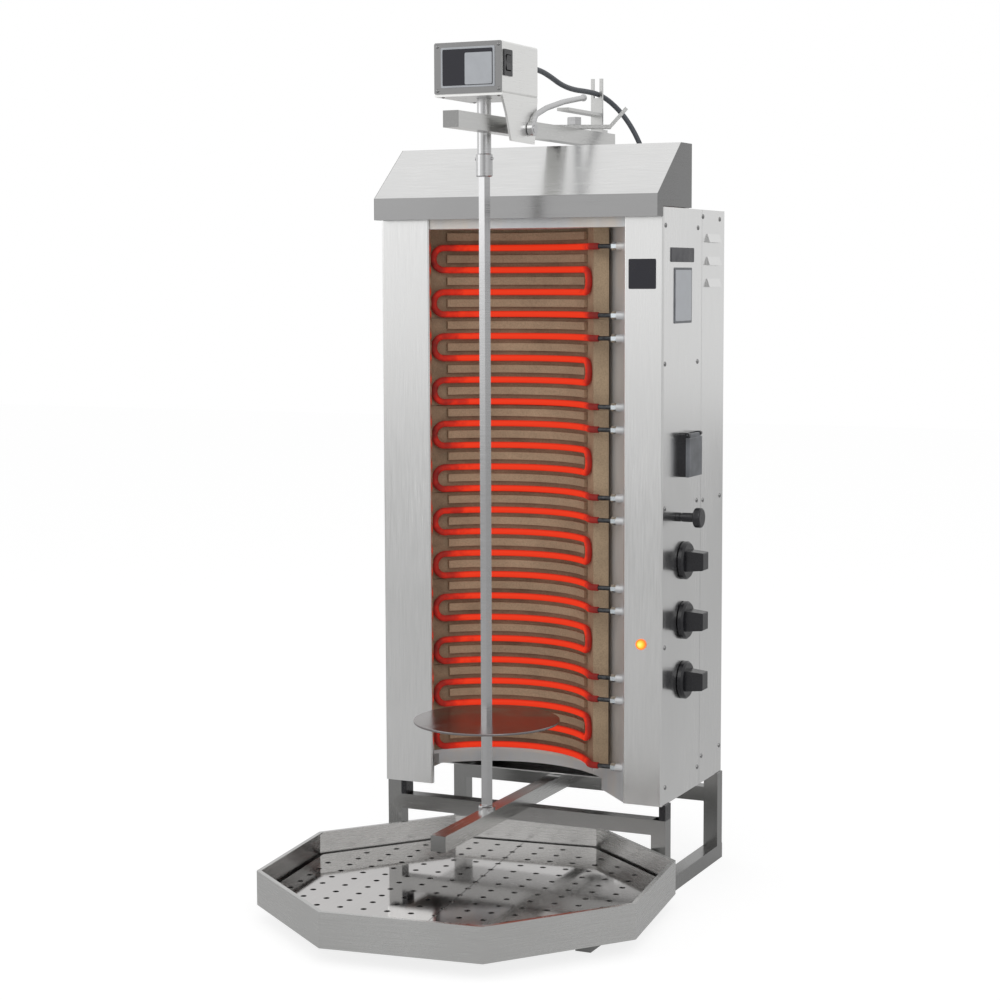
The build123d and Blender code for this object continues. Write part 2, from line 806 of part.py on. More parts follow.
def brick_ledge():
    """Curved shelf under the bricks, with its inner edge turned down."""
    z1 = bricks_bottom
    shelf = arc_sector(brick_arc, carrier_arc, brick_angle, brick_right_angle, z1 - sheet, z1)
    lip = arc_sector(brick_arc, brick_arc + sheet, brick_angle, brick_right_angle, z1 - ledge_lip, z1)
    return shelf + lip


def hood():
    """Smoke hood: band, slope, top, back and two sides from one sheet."""
    slope_rear = hood_front + hood_slope_run
    band_top = hood_bottom + hood_band
    side_bottom = body_top + 1.0
    side_front = body_front - 1.5
    outer = [(hood_front, hood_bottom), (hood_front, band_top), (slope_rear, hood_top),
             (hood_rear, hood_top), (hood_rear, side_bottom), (side_front, side_bottom),
             (side_front, hood_bottom)]
    body = profile_x(outer, -half_body, half_body)
    t = sheet
    inner = [(hood_front + t, hood_bottom - 1), (hood_front + t, band_top - 0.6),
             (slope_rear + 0.4, hood_top - t), (hood_rear - t, hood_top - t),
             (hood_rear - t, side_bottom - 1), (side_front + 1, side_bottom - 1),
             (side_front + 1, hood_bottom - 1)]
    hollow = profile_x(inner, -half_body + t, half_body - t)
    return body - hollow


def hood_ledge():
    """Angle that ties the hood to the top of the casing."""
    flat = block(-half_body + 3, half_body - 3, hood_rear - sheet - hood_flange, hood_rear - sheet,
                 body_top, body_top + sheet)
    wall = block(-half_body + 3, half_body - 3, hood_rear - 2 * sheet, hood_rear - sheet,
                 body_top, body_top + hood_flange)
    return flat + wall


# Heater

def brick(index):
    """Curved fireclay brick: raised field, and a rib between each two passes of the element."""
    top = bricks_top - index * brick_height
    bottom = top - brick_height + brick_gap
    body = arc_sector(brick_arc, brick_back_arc, brick_angle, brick_right_angle, bottom, top)
    body += arc_sector(brick_arc - field_rise, brick_arc + 1, rib_angle, rib_angle, bottom, top)
    for k in range(passes):
        middle = first_pass_z - (index * passes + k - 0.5) * element_pitch
        body += arc_sector(brick_arc - rib_depth, brick_arc + 1, rib_angle, rib_angle,
                           middle - rib_height / 2, middle + rib_height / 2)
    return body


def terminal_y():
    """Depth of the terminals, after the bend at the end of a pass."""
    y = on_arc(element_arc, end_angle)[1]
    return y - terminal_bend * (1 - math.cos(math.radians(end_angle)))


def terminal_start():
    """Where an element's sheath ends and its terminal starts."""
    x = on_arc(element_arc, end_angle)[0]
    return x + terminal_bend * math.sin(math.radians(end_angle)) + terminal_end


def terminal_heights():
    """Height of each element's two ends."""
    rows = []
    for index in range(brick_count):
        top = first_pass_z - index * brick_height
        rows += [top, top - (passes - 1) * element_pitch]
    return rows


def element_path(index):
    """Centre line of one serpentine: passes on the arc, joined by half circles."""
    a, b = math.radians(pass_angle), math.radians(end_angle)
    right, middle, left = (on_arc(element_arc, d) for d in (pass_angle, 0, -pass_angle))
    last = on_arc(element_arc, end_angle)
    bend_x = last[0] + terminal_bend * math.sin(b)
    bend_mid = (last[0] + terminal_bend * (math.sin(b) - math.sin(b / 2)),
                last[1] - terminal_bend * (math.cos(b / 2) - math.cos(b)))
    end_x, end_y = terminal_start(), terminal_y()
    reach = element_pitch / 2
    edges = []
    for k in range(passes):
        z = first_pass_z - index * brick_height - k * element_pitch
        if k == 0:
            edges.append(Line((end_x, end_y, z), (bend_x, end_y, z)))
            edges.append(ThreePointArc((bend_x, end_y, z), (*bend_mid, z), (*last, z)))
        outer = last if k in (0, passes - 1) else right
        start, end = (outer, left) if k % 2 == 0 else (left, outer)
        edges.append(ThreePointArc((*start, z), (*middle, z), (*end, z)))
        if k < passes - 1:
            side = -1 if k % 2 == 0 else 1
            tip = (end[0] + side * reach * math.cos(a), end[1] - reach * math.sin(a), z - reach)
            edges.append(ThreePointArc((*end, z), tip, (*end, z - element_pitch)))
        else:
            edges.append(ThreePointArc((*last, z), (*bend_mid, z), (bend_x, end_y, z)))
            edges.append(Line((bend_x, end_y, z), (end_x, end_y, z)))
    return Wire(edges)


def element(index):
    """Tubular heating element of one brick."""
    path = element_path(index)
    section = Plane(path @ 0, z_dir=path % 0) * Circle(element_radius)
    return sweep(section, path)


def terminals():
    """Threaded pins from the elements through the right wall, with their nuts."""
    pins = []
    nut = extrude(RegularPolygon(nut_width / 2, 6, major_radius=False), nut_length)
    x0, x1 = boss_ends()
    for z in terminal_heights():
        pin = rod_x(terminal_start(), x1 + nut_length + terminal_tip, terminal_y(), z, terminal_radius)
        inner = Pos(x0 - nut_length, terminal_y(), z) * Rot(0, 90, 0)
        outer = Pos(x1, terminal_y(), z) * Rot(0, 90, 0)
        pins.append(pin + inner * nut + outer * nut)
    return pins


def brick_carrier():
    """Curved back sheet, down past the bricks, with a flat wing to the left wall."""
    z0, z1 = bricks_bottom - apron_depth, bricks_top
    curve = arc_sector(carrier_arc, carrier_arc + sheet, carrier_angle, wing_angle, z0, z1)
    left, y = on_arc(carrier_arc, -carrier_angle)
    left_wing = block(left_wall_x(), left, y, y + sheet, z0, z1)
    return curve + left_wing


# Controls

def knob(z):
    """Control knob: chamfered skirt, tapered grip and a spindle into its switch."""
    x0 = half_body + knob_gap
    skirt = rod_x(x0, x0 + knob_skirt, knob_y, z, knob_radius)
    skirt = chamfer(skirt.edges().filter_by(GeomType.CIRCLE).group_by(Axis.X)[-1], 2.5)
    base = Plane(origin=(x0 + knob_skirt - 0.5, knob_y, z), x_dir=(0, 1, 0), z_dir=(1, 0, 0))
    grip = extrude(base * Rectangle(grip_length, grip_height), grip_reach + 0.5, taper=5)
    grip = fillet(grip.edges().group_by(Axis.X)[-1], 1.5)
    spindle = rod_x(half_body - sheet - switch_depth / 2, x0 + 1, knob_y, z, spindle_radius)
    return skirt + grip + spindle


def heat_switch(z):
    """Rotary switch behind the panel, bored for its spindle."""
    x1 = half_body - sheet
    half = switch_side / 2
    body = block(x1 - switch_depth, x1, knob_y - half, knob_y + half, z - half, z + half)
    body = chamfer(body.edges().filter_by(Axis.X), 5)
    bore = rod_x(x1 - switch_depth / 2 - 1, x1, knob_y, z, spindle_radius + running_clearance)
    return body - bore


def lock_knob():
    """Mushroom knob on a stem, with the stud that locks the slide."""
    x0 = half_body + glide_gap
    stem = rod_x(x0, x0 + lock_stem, lock_y, lock_z, lock_stem_radius)
    stem -= (rod_x(x0 + 5, x0 + 8, lock_y, lock_z, lock_stem_radius)
             - rod_x(x0 + 5, x0 + 8, lock_y, lock_z, lock_stem_radius - 1))
    head = rod_x(x0 + lock_stem - 1, x0 + lock_stem + lock_head, lock_y, lock_z, lock_head_radius)
    head = fillet(head.edges().filter_by(GeomType.CIRCLE), 2.5)
    stud = rod_x(half_body - sheet - 16, x0 + 1, lock_y, lock_z, lock_stud_radius)
    return stem + head + stud


def lock_block():
    """Threaded block behind the panel for the lock knob."""
    x1 = half_body - sheet
    body = block(x1 - 14, x1, lock_y - 12, lock_y + 12, lock_z - 12, lock_z + 12)
    return body - rod_x(x1 - 14, x1, lock_y, lock_z, lock_stud_radius + running_clearance)


def socket_housing():
    """Body of the outlet for the drive's plug, with round contact holes."""
    x0 = half_body
    half_w, half_h = socket_width / 2, socket_height / 2
    body = block(x0, x0 + socket_depth, socket_y - half_w, socket_y + half_w,
                 socket_z - half_h, socket_z + half_h)
    body = fillet(body.edges().filter_by(Axis.X), 3)
    well = rod_x(x0 + 2, x0 + socket_depth, socket_y, socket_z - 3, 18)
    body -= well
    for dy in (-6, 6):
        body -= rod_x(x0 + 0.5, x0 + 2, socket_y + dy, socket_z - 3, 2.4)
    hinge_x, hinge_z = x0 + socket_depth + 2.2, socket_z + half_h - 3
    for dy in (-half_w + 3, half_w - 3):
        y0, y1 = socket_y + dy - 3, socket_y + dy + 3
        body += block(x0 + socket_depth - 1, hinge_x, y0, y1, hinge_z - 3, hinge_z + 3)
        body += rod_y(hinge_x, y0, y1, hinge_z, 3)
    bore = rod_y(hinge_x, socket_y - half_w, socket_y + half_w, hinge_z, 1.3)
    return body - bore


def socket_lid():
    """Hinged lid of the outlet, with its pin."""
    x0 = half_body + socket_depth + lid_gap
    half_w, half_h = socket_width / 2, socket_height / 2
    hinge_z = socket_z + half_h - 3
    plate = block(x0, x0 + lid_depth, socket_y - half_w, socket_y + half_w,
                  socket_z - half_h, hinge_z - 3.6)
    plate = fillet(plate.edges().group_by(Axis.X)[-1], 1.5)
    hinge_x = half_body + socket_depth + 2.2
    knuckle = rod_y(hinge_x, socket_y - half_w + 6.4, socket_y + half_w - 6.4, hinge_z, 1.9)
    web = block(hinge_x - 1.9, hinge_x + 1.9, socket_y - half_w + 6.4, socket_y + half_w - 6.4,
                hinge_z - 5, hinge_z)
    pin = rod_y(hinge_x, socket_y - half_w + 0.5, socket_y + half_w - 0.5, hinge_z, 1.25)
    return plate + knuckle + web + pin


def pilot_lamp():
    """Round lamp with a domed lens, in the right front panel."""
    ring = rod_y(lamp_x, body_front - 2, body_front, lamp_z, lamp_radius)
    lens = Pos(lamp_x, body_front - 1.2, lamp_z) * Sphere(lamp_radius - 2)
    stem = rod_y(lamp_x, body_front, body_front + 14, lamp_z, lamp_radius - 2)
    return ring + lens + stem


def inlet_gland():
    """Gland for the mains cable, low on the back panel."""
    x, z = half_body - 40, body_bottom + 45
    nut = rod_y(x, body_rear, body_rear + 6, z, inlet_radius)
    dome = rod_y(x, body_rear + 6, body_rear + 14, z, inlet_radius - 2)
    dome = chamfer(dome.edges().filter_by(GeomType.CIRCLE).group_by(Axis.Y)[-1], 2)
    return nut + dome - rod_y(x, body_rear, body_rear + 14, z, 4)


# Tray

def octagon(radius):
    """Corners of the tray's outline, turned as the tray stands."""
    corners = []
    for k in range(8):
        a = math.radians(22.5 + tray_turn + 45 * k)
        corners.append((radius * math.cos(a), tray_y + radius * math.sin(a)))
    return corners


def fat_tray():
    """Eight-sided pan with upright walls and a rim folded inwards."""
    top = tray_bottom + tray_height
    pan = profile_z(octagon(tray_radius), tray_bottom, top)
    pan -= profile_z(octagon(tray_radius - sheet), tray_bottom + sheet, top)
    rim = profile_z(octagon(tray_radius - sheet * 0.5), top - sheet, top)
    rim -= profile_z(octagon(tray_radius - tray_lip), top - sheet, top)
    return pan + rim


def tray_floor(side):
    """One half of the raised floor, with a folded leg along its straight edge."""
    z0 = tray_bottom + floor_rise
    whole = profile_z(octagon(tray_radius - tray_lip - floor_clearance), z0 - leg_height, z0 + 1.0)
    core = profile_z(octagon(tray_radius - tray_lip - floor_clearance - 1.2), z0 - leg_height, z0)
    big = 2 * tray_radius
    y0, y1 = tray_y - big, tray_y + big
    half = block(0.4, big, y0, y1, 0, 100) if side > 0 else block(-big, -0.4, y0, y1, 0, 100)
    inner = block(1.6, big, y0, y1, 0, 100) if side > 0 else block(-big, -1.6, y0, y1, 0, 100)
    turn = Pos(0, tray_y, 0) * Rot(0, 0, tray_turn) * Pos(0, -tray_y, 0)
    return (whole & (turn * half)) - (core & (turn * inner))


def build():
    """Write every node."""
    save("left_side_frame", side_frame(-1, slide_top))
    save("right_side_frame", side_frame(1, cross_bar_top))
    save("cross_bars", cross_bar(front_post_front), cross_bar(rear_post_front))
    save("lower_arm", lower_arm())
    save("column", column())
    save("upper_arm", upper_arm())
    save("tube_caps", *tube_caps())
    save("glides", *glides())
    save("foot_bearing", foot_bearing())
    save("drive_shaft", drive_shaft())
    save("spit_rod", spit_rod())
    save("meat_disc", meat_disc())
    save("disc_screw", disc_screw())
    save("motor_housing", motor_housing())
    save("motor_cover", motor_cover())
    save("gear_motor", gear_motor())
    save("motor_bracket", motor_bracket())
    save("pivot_bolt", pivot_bolt())
    save("release_lever", release_lever())
    save("rocker_frame", rocker_frame())
    save("rocker", rocker())
    save("cable_glands", motor_gland(), column_gland())
    save("motor_cable", motor_cable())
    save("clamp_lever", clamp_lever())
    save("clamp_bolt", clamp_bolt())
    save("cable_fork", cable_fork())
    save("left_front_panel", left_front_panel())
    save("right_front_panel", right_front_panel())
    save("left_side_panel", left_side_panel())
    save("control_panel", control_panel())
    save("rear_cover", rear_cover())
    save("decks", top_deck(), bottom_deck())
    save("left_reflector", left_reflector())
    save("right_reflector", right_reflector())
    save("cavity_plates", roof_plate(), brick_ledge())
    save("brick_carrier", brick_carrier())
    save("hood", hood() + hood_ledge())
    save("bricks", *[brick(index) for index in range(brick_count)])
    for index in range(brick_count):
        save(f"element_{index + 1}", element(index))
    save("terminals", *terminals())
    for name, z in zip(("upper", "middle", "lower"), knob_heights):
        save(f"{name}_knob", knob(z))
    save("heat_switches", *[heat_switch(z) for z in knob_heights])
    save("lock_knob", lock_knob())
    save("lock_block", lock_block())
    save("socket_housing", socket_housing())
    save("socket_lid", socket_lid())
    save("pilot_lamp", pilot_lamp())
    save("inlet_gland", inlet_gland())
    save("fat_tray", fat_tray())
    save("tray_floor_left", tray_floor(-1))
    save("tray_floor_right", tray_floor(1))


build()
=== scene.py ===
"""Dresses the kebab grill's frame with its finishes and small fittings, and sets up the studio."""

import math

import bmesh
import bpy
from bpy.props import (
    FloatProperty,
    FloatVectorProperty,
    PointerProperty,
)
from mathutils import Matrix, Vector


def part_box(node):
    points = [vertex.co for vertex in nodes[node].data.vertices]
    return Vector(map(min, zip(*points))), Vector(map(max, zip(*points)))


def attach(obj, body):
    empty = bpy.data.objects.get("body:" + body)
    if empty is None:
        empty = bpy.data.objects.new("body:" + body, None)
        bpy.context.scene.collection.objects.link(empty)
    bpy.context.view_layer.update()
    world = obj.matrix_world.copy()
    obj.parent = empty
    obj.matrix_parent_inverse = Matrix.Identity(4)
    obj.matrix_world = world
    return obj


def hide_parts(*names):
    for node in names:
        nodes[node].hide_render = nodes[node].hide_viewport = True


bl_info = {
    "name": "Kebab grill dresser",
    "version": (1, 0, 0),
    "blender": (4, 5, 0),
    "location": "3D View > Sidebar > Grill",
    "description": "Adds finishes, fittings and a studio to the kebab grill's frame",
    "category": "Object",
}

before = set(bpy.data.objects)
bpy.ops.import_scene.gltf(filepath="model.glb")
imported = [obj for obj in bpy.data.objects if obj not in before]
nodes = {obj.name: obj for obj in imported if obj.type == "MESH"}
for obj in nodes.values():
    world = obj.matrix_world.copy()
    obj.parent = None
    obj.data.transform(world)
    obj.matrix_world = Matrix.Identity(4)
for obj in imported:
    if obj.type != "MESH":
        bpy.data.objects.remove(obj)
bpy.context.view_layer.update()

# The spit's axis stands at X = 0 and this Y
spit_y = (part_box("spit_rod")[0].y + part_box("spit_rod")[1].y) / 2

# The casing's right side and its front
casing_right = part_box("control_panel")[1].x
casing_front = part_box("right_front_panel")[0].y

# The heater's arc: its middle, the elements' and bricks' radii, and how far right the ribs reach
arc_centre = (-0.025, spit_y + 0.056, 0.0)
element_arc = 0.134
brick_face = 0.1395
rib_end = 0.1029


class GrillSizes(bpy.types.PropertyGroup):
    """Sizes of the fittings that the dresser adds."""

    cable_thickness: FloatProperty(
        name="Cable thickness", description="Outside diameter of the drive's cable",
        default=0.007, min=0.003, max=0.015, unit="LENGTH")
    screw_width: FloatProperty(
        name="Screw width", description="Diameter of a casing screw's head",
        default=0.0066, min=0.002, max=0.02, unit="LENGTH")
    hole_width: FloatProperty(
        name="Hole width", description="Diameter of a hole in the tray's floor",
        default=0.008, min=0.002, max=0.02, unit="LENGTH")
    hole_spacing: FloatProperty(
        name="Hole spacing", description="Distance between rows of holes in the tray's floor",
        default=0.031, min=0.012, max=0.08, unit="LENGTH")
    tray_turn: FloatProperty(
        name="Tray turn", description="Angle of the tray's hole pattern on the stand",
        default=math.radians(6.8), min=-0.8, max=0.8, subtype="ANGLE")
    plate_depth: FloatProperty(
        name="Plate depth", description="Thickness of the bare plates",
        default=0.0009, min=0.0002, max=0.004, unit="LENGTH")
    grain_length: FloatProperty(
        name="Grain length", description="How far the brushing of the steel is drawn out",
        default=40.0, min=1.0, max=200.0)


class GrillColours(bpy.types.PropertyGroup):
    """Colours of the finishes."""

    casing: FloatVectorProperty(
        name="Casing", description="Brushed steel of the casing",
        default=(0.84, 0.84, 0.835), size=3, min=0, max=1, subtype="COLOR")
    tube: FloatVectorProperty(
        name="Tube", description="Satin steel of the stand",
        default=(0.33, 0.33, 0.325), size=3, min=0, max=1, subtype="COLOR")
    tray: FloatVectorProperty(
        name="Tray", description="Steel of the drip tray",
        default=(0.66, 0.66, 0.65), size=3, min=0, max=1, subtype="COLOR")
    brick: FloatVectorProperty(
        name="Brick", description="Fireclay behind the elements",
        default=(0.34, 0.25, 0.165), size=3, min=0, max=1, subtype="COLOR")
    glow: FloatVectorProperty(
        name="Glow", description="Hot middle of the heating elements",
        default=(0.95, 0.040, 0.008), size=3, min=0, max=1, subtype="COLOR")
    moulding: FloatVectorProperty(
        name="Moulding", description="Black plastic of knobs and fittings",
        default=(0.010, 0.010, 0.012), size=3, min=0, max=1, subtype="COLOR")


# Finishes

finishes = {}

# Most values of a noise pattern lie between these
noise_low, noise_high = 0.3, 0.7


def new_finish(name):
    """The node tree and the shader of a new material, which is kept in finishes under its name."""
    material = bpy.data.materials.new(name)
    material.use_nodes = True
    finishes[name] = material
    tree = material.node_tree
    return tree, next(n for n in tree.nodes if n.type == "BSDF_PRINCIPLED")


def object_grid(tree, scale=(1, 1, 1), centre=(0, 0, 0)):
    """Object coordinates through a Mapping node."""
    place = tree.nodes.new("ShaderNodeTexCoord")
    mapping = tree.nodes.new("ShaderNodeMapping")
    mapping.inputs["Scale"].default_value = scale
    mapping.inputs["Location"].default_value = centre
    tree.links.new(place.outputs["Object"], mapping.inputs["Vector"])
    return mapping.outputs["Vector"]


def noise(tree, vector, scale, detail, rough):
    """A noise pattern's value."""
    node = tree.nodes.new("ShaderNodeTexNoise")
    node.inputs["Scale"].default_value = scale
    node.inputs["Detail"].default_value = detail
    node.inputs["Roughness"].default_value = rough
    tree.links.new(vector, node.inputs["Vector"])
    return node.outputs["Fac"]


def ramp(tree, value, stops):
    """A colour ramp over the value; each stop is a place and a colour or a grey."""
    node = tree.nodes.new("ShaderNodeValToRGB")
    band = node.color_ramp
    while len(band.elements) < len(stops):
        band.elements.new(0.5)
    for element, (place, colour) in zip(band.elements, stops):
        element.position = place
        if isinstance(colour, (int, float)):
            colour = (colour, colour, colour)
        element.color = (*colour[:3], 1.0)
    tree.links.new(value, node.inputs["Fac"])
    return node.outputs["Color"]


def spread(tree, value, low, high, start=0.0, end=1.0):
    """The value mapped from one range to another."""
    node = tree.nodes.new("ShaderNodeMapRange")
    node.inputs["From Min"].default_value = start
    node.inputs["From Max"].default_value = end
    node.inputs["To Min"].default_value = low
    node.inputs["To Max"].default_value = high
    tree.links.new(value, node.inputs["Value"])
    return node.outputs["Result"]


def blend_colours(tree, how, factor, a, b):
    """Two colours mixed; the factor is a number or a socket."""
    node = tree.nodes.new("ShaderNodeMix")
    node.data_type = "RGBA"
    node.blend_type = how
    for socket, value in ((0, factor), (6, a), (7, b)):
        if isinstance(value, (int, float)):
            node.inputs[socket].default_value = value
        elif isinstance(value, (tuple, list)):
            node.inputs[socket].default_value = (*value[:3], 1.0)
        else:
            tree.links.new(value, node.inputs[socket])
    return node.outputs[2]


def arithmetic(tree, how, a, b=0.0):
    """A Math node's result."""
    node = tree.nodes.new("ShaderNodeMath")
    node.operation = how
    for socket, value in enumerate((a, b)):
        if isinstance(value, (int, float)):
            node.inputs[socket].default_value = value
        else:
            tree.links.new(value, node.inputs[socket])
    return node.outputs[0]


def two_tones(tree, pattern, low, high):
    """A noise pattern's value as a blend from one tone to another."""
    return ramp(tree, pattern, [(noise_low, low), (noise_high, high)])


def over_noise(tree, pattern, low, high):
    """A noise pattern's value mapped to a range."""
    return spread(tree, pattern, low, high, noise_low, noise_high)


def parts_of(tree, vector):
    """A vector's X, Y and Z."""
    node = tree.nodes.new("ShaderNodeSeparateXYZ")
    tree.links.new(vector, node.inputs["Vector"])
    return node.outputs


def distance_from_line(tree, centre, axes):
    """How far a point is from a line through the centre, measured along two axes, and its X from there."""
    split = parts_of(tree, object_grid(tree, centre=tuple(-c for c in centre)))
    square = [arithmetic(tree, "POWER", arithmetic(tree, "ABSOLUTE", split[i]), 2.0) for i in axes]
    return arithmetic(tree, "SQRT", arithmetic(tree, "ADD", *square)), split[0]


def relief(tree, shader, value, strength, distance):
    """Bump from the value into the shader."""
    node = tree.nodes.new("ShaderNodeBump")
    node.inputs["Strength"].default_value = strength
    node.inputs["Distance"].default_value = distance
    tree.links.new(value, node.inputs["Height"])
    tree.links.new(node.outputs["Normal"], shader.inputs["Normal"])


def grain_scale(along, drawn):
    """Scale of a brushed grain that runs along the named axes."""
    return tuple(1.0 if axis in along else drawn for axis in "XYZ")


def near_face(tree, places):
    """1 on any flat face given as (axis, place, way it faces), otherwise 0."""
    inner, outer = 0.0009, 0.0002
    split = parts_of(tree, object_grid(tree))
    found = 0.0
    for axis, place, way in places:
        on = spread(tree, split[axis], 0.0, 1.0, place - way * inner, place - way * outer)
        found = arithmetic(tree, "MAXIMUM", found, on)
    return found


def brushed_steel(name, colour, along, drawn, rough=(0.18, 0.27), darkened=()):
    """Brushed sheet: fine grain along the named axes, faint smears, and painted shade on the faces given."""
    tree, shader = new_finish(name)
    shader.inputs["Metallic"].default_value = 1.0
    fine = noise(tree, object_grid(tree, grain_scale(along, drawn)), 22.0, 4.0, 0.65)
    smear = noise(tree, object_grid(tree, (1.0, 1.0, 0.6)), 5.5, 3.0, 0.55)
    dark = tuple(c * 0.94 for c in colour)
    light = tuple(min(1.0, c * 1.03) for c in colour)
    grain = two_tones(tree, fine, dark, light)
    # Painted shade: each given face's colour is mixed to its flat grey
    for tone, places in darkened:
        grain = blend_colours(tree, "MIX", near_face(tree, places), grain, (tone, tone, tone))
    wiped = ramp(tree, smear, [(0.35, 0.95), (0.65, 1.0)])
    tree.links.new(blend_colours(tree, "MULTIPLY", 1.0, grain, wiped), shader.inputs["Base Color"])
    gloss = arithmetic(tree, "ADD", over_noise(tree, fine, *rough),
                       spread(tree, smear, -0.02, 0.03, 0.35, 0.65))
    tree.links.new(gloss, shader.inputs["Roughness"])
    relief(tree, shader, fine, 0.05, 0.0002)


def bright_bar(name, colour):
    """Turned and ground bar steel with faint rings."""
    tree, shader = new_finish(name)
    shader.inputs["Metallic"].default_value = 1.0
    rings = noise(tree, object_grid(tree, (1.0, 1.0, 30.0)), 30.0, 3.0, 0.6)
    tone = two_tones(tree, rings, tuple(c * 0.86 for c in colour), colour)
    tree.links.new(tone, shader.inputs["Base Color"])
    tree.links.new(over_noise(tree, rings, 0.13, 0.27), shader.inputs["Roughness"])
    relief(tree, shader, rings, 0.06, 0.0001)


def heated_liner(name, colour, metal=1.0):
    """Inner sheet, dulled and straw coloured near the heat."""
    tree, shader = new_finish(name)
    shader.inputs["Metallic"].default_value = metal
    patch = noise(tree, object_grid(tree, (1.0, 1.0, 0.4)), 9.0, 5.0, 0.6)
    fine = noise(tree, object_grid(tree, (40.0, 40.0, 1.0)), 20.0, 3.0, 0.6)
    tint = ramp(tree, patch, [(0.3, tuple(c * 0.85 for c in colour)), (0.5, colour),
                              (0.72, tuple(c * m for c, m in zip(colour, (1.14, 1.0, 0.86))))])
    tree.links.new(tint, shader.inputs["Base Color"])
    tree.links.new(over_noise(tree, fine, 0.3, 0.48), shader.inputs["Roughness"])
    relief(tree, shader, fine, 0.1, 0.0002)


def fireclay(name, colour):
    """Dry fired clay: painted shade darkens the grooves, so the ribs and right margin stand paler as painted
    light; sooty patches and a coarse grain.
    """
    # How far a rib's front, painted paler, and its foot stand before the face, and half the margin's edge
    rib_front, rib_foot, edge = 0.0023, 0.0005, 0.0003
    tree, shader = new_finish(name)
    far, across = distance_from_line(tree, arc_centre, (0, 1))
    on_rib = spread(tree, far, 1.0, 0.0, brick_face - rib_front, brick_face - rib_foot)
    on_margin = spread(tree, across, 0.0, 1.0, rib_end - edge, rib_end + edge)
    painted_light_mask = arithmetic(tree, "MAXIMUM", on_rib, on_margin)
    patch = noise(tree, object_grid(tree, (1, 1, 1.6)), 16.0, 6.0, 0.6)
    sand = noise(tree, object_grid(tree), 520.0, 2.0, 0.5)
    # Painted shade on the ground between the ribs; the ribs and the right margin get the paler tone as
    # painted light
    ground = ramp(tree, patch, [(0.25, tuple(c * 0.62 for c in colour)), (0.5, colour),
                                (0.78, tuple(min(1, c * 1.28) for c in colour))])
    pale = ramp(tree, patch, [(0.25, tuple(c * 1.05 for c in colour)),
                              (0.75, tuple(min(1, c * 1.5) for c in colour))])
    tone = blend_colours(tree, "MIX", painted_light_mask, ground, pale)
    speck = ramp(tree, sand, [(0.3, 0.82), (0.6, 1.0)])
    tree.links.new(blend_colours(tree, "MULTIPLY", 1.0, tone, speck), shader.inputs["Base Color"])
    shader.inputs["Roughness"].default_value = 0.92
    shader.inputs["Specular IOR Level"].default_value = 0.2
    relief(tree, shader, arithmetic(tree, "ADD", sand, patch), 0.35, 0.0006)


def glowing_tube(name, colour):
    """Element sheath: hottest in the middle of a pass and dull red at its bends, its glow dimmed from the
    tube's front towards its back as painted shade.
    """
    tree, shader = new_finish(name)
    hot_middle, hot_reach, dull_reach, uneven = 0.012, 0.088, 0.132, 0.012
    back_painted_shade, front_depth = 0.42, 0.0035
    far, across = distance_from_line(tree, arc_centre, (0, 1))
    out = arithmetic(tree, "ABSOLUTE", arithmetic(tree, "SUBTRACT", across, hot_middle))
    mottled = noise(tree, object_grid(tree), 60.0, 4.0, 0.6)
    wander = arithmetic(tree, "ADD", out, over_noise(tree, mottled, -uneven, uneven))
    # Painted shade: the glow and the base colour fade from the tube's front towards its back and edges
    core = spread(tree, far, 1.0, back_painted_shade, element_arc - front_depth, element_arc)
    heat = arithmetic(tree, "MULTIPLY", spread(tree, wander, 1.0, 0.0, hot_reach, dull_reach), core)
    glow_with_painted_shade = ramp(tree, heat, [(0.0, (0.07, 0.004, 0.003)), (0.35, (0.30, 0.010, 0.006)),
                            (0.7, (0.66, 0.018, 0.005)), (1.0, colour)])
    base = ramp(tree, heat, [(0.0, (0.12, 0.02, 0.018)), (1.0, (0.26, 0.02, 0.008))])
    tree.links.new(base, shader.inputs["Base Color"])
    tree.links.new(glow_with_painted_shade, shader.inputs["Emission Color"])
    shader.inputs["Emission Strength"].default_value = 0.68
    shader.inputs["Roughness"].default_value = 0.7
    shader.inputs["Specular IOR Level"].default_value = 0.25
    fine = noise(tree, object_grid(tree), 900.0, 2.0, 0.5)
    relief(tree, shader, fine, 0.2, 0.0002)


def black_moulding(name, colour, rough):
    """Moulded plastic with a fine spark-eroded surface."""
    tree, shader = new_finish(name)
    fine = noise(tree, object_grid(tree), 1400.0, 2.0, 0.5)
    soft = noise(tree, object_grid(tree), 45.0, 3.0, 0.5)
    tone = two_tones(tree, soft, colour, tuple(c * 1.7 for c in colour))
    tree.links.new(tone, shader.inputs["Base Color"])
    tree.links.new(over_noise(tree, fine, rough - 0.07, rough + 0.1), shader.inputs["Roughness"])
    relief(tree, shader, fine, 0.15, 0.0001)


def cable_sheath(name):
    """Grey rubber sheath with a fine grain."""
    tree, shader = new_finish(name)
    fine = noise(tree, object_grid(tree), 700.0, 3.0, 0.6)
    tone = two_tones(tree, fine, (0.055, 0.06, 0.07), (0.10, 0.11, 0.125))
    tree.links.new(tone, shader.inputs["Base Color"])
    shader.inputs["Roughness"].default_value = 0.55
    relief(tree, shader, fine, 0.2, 0.0002)


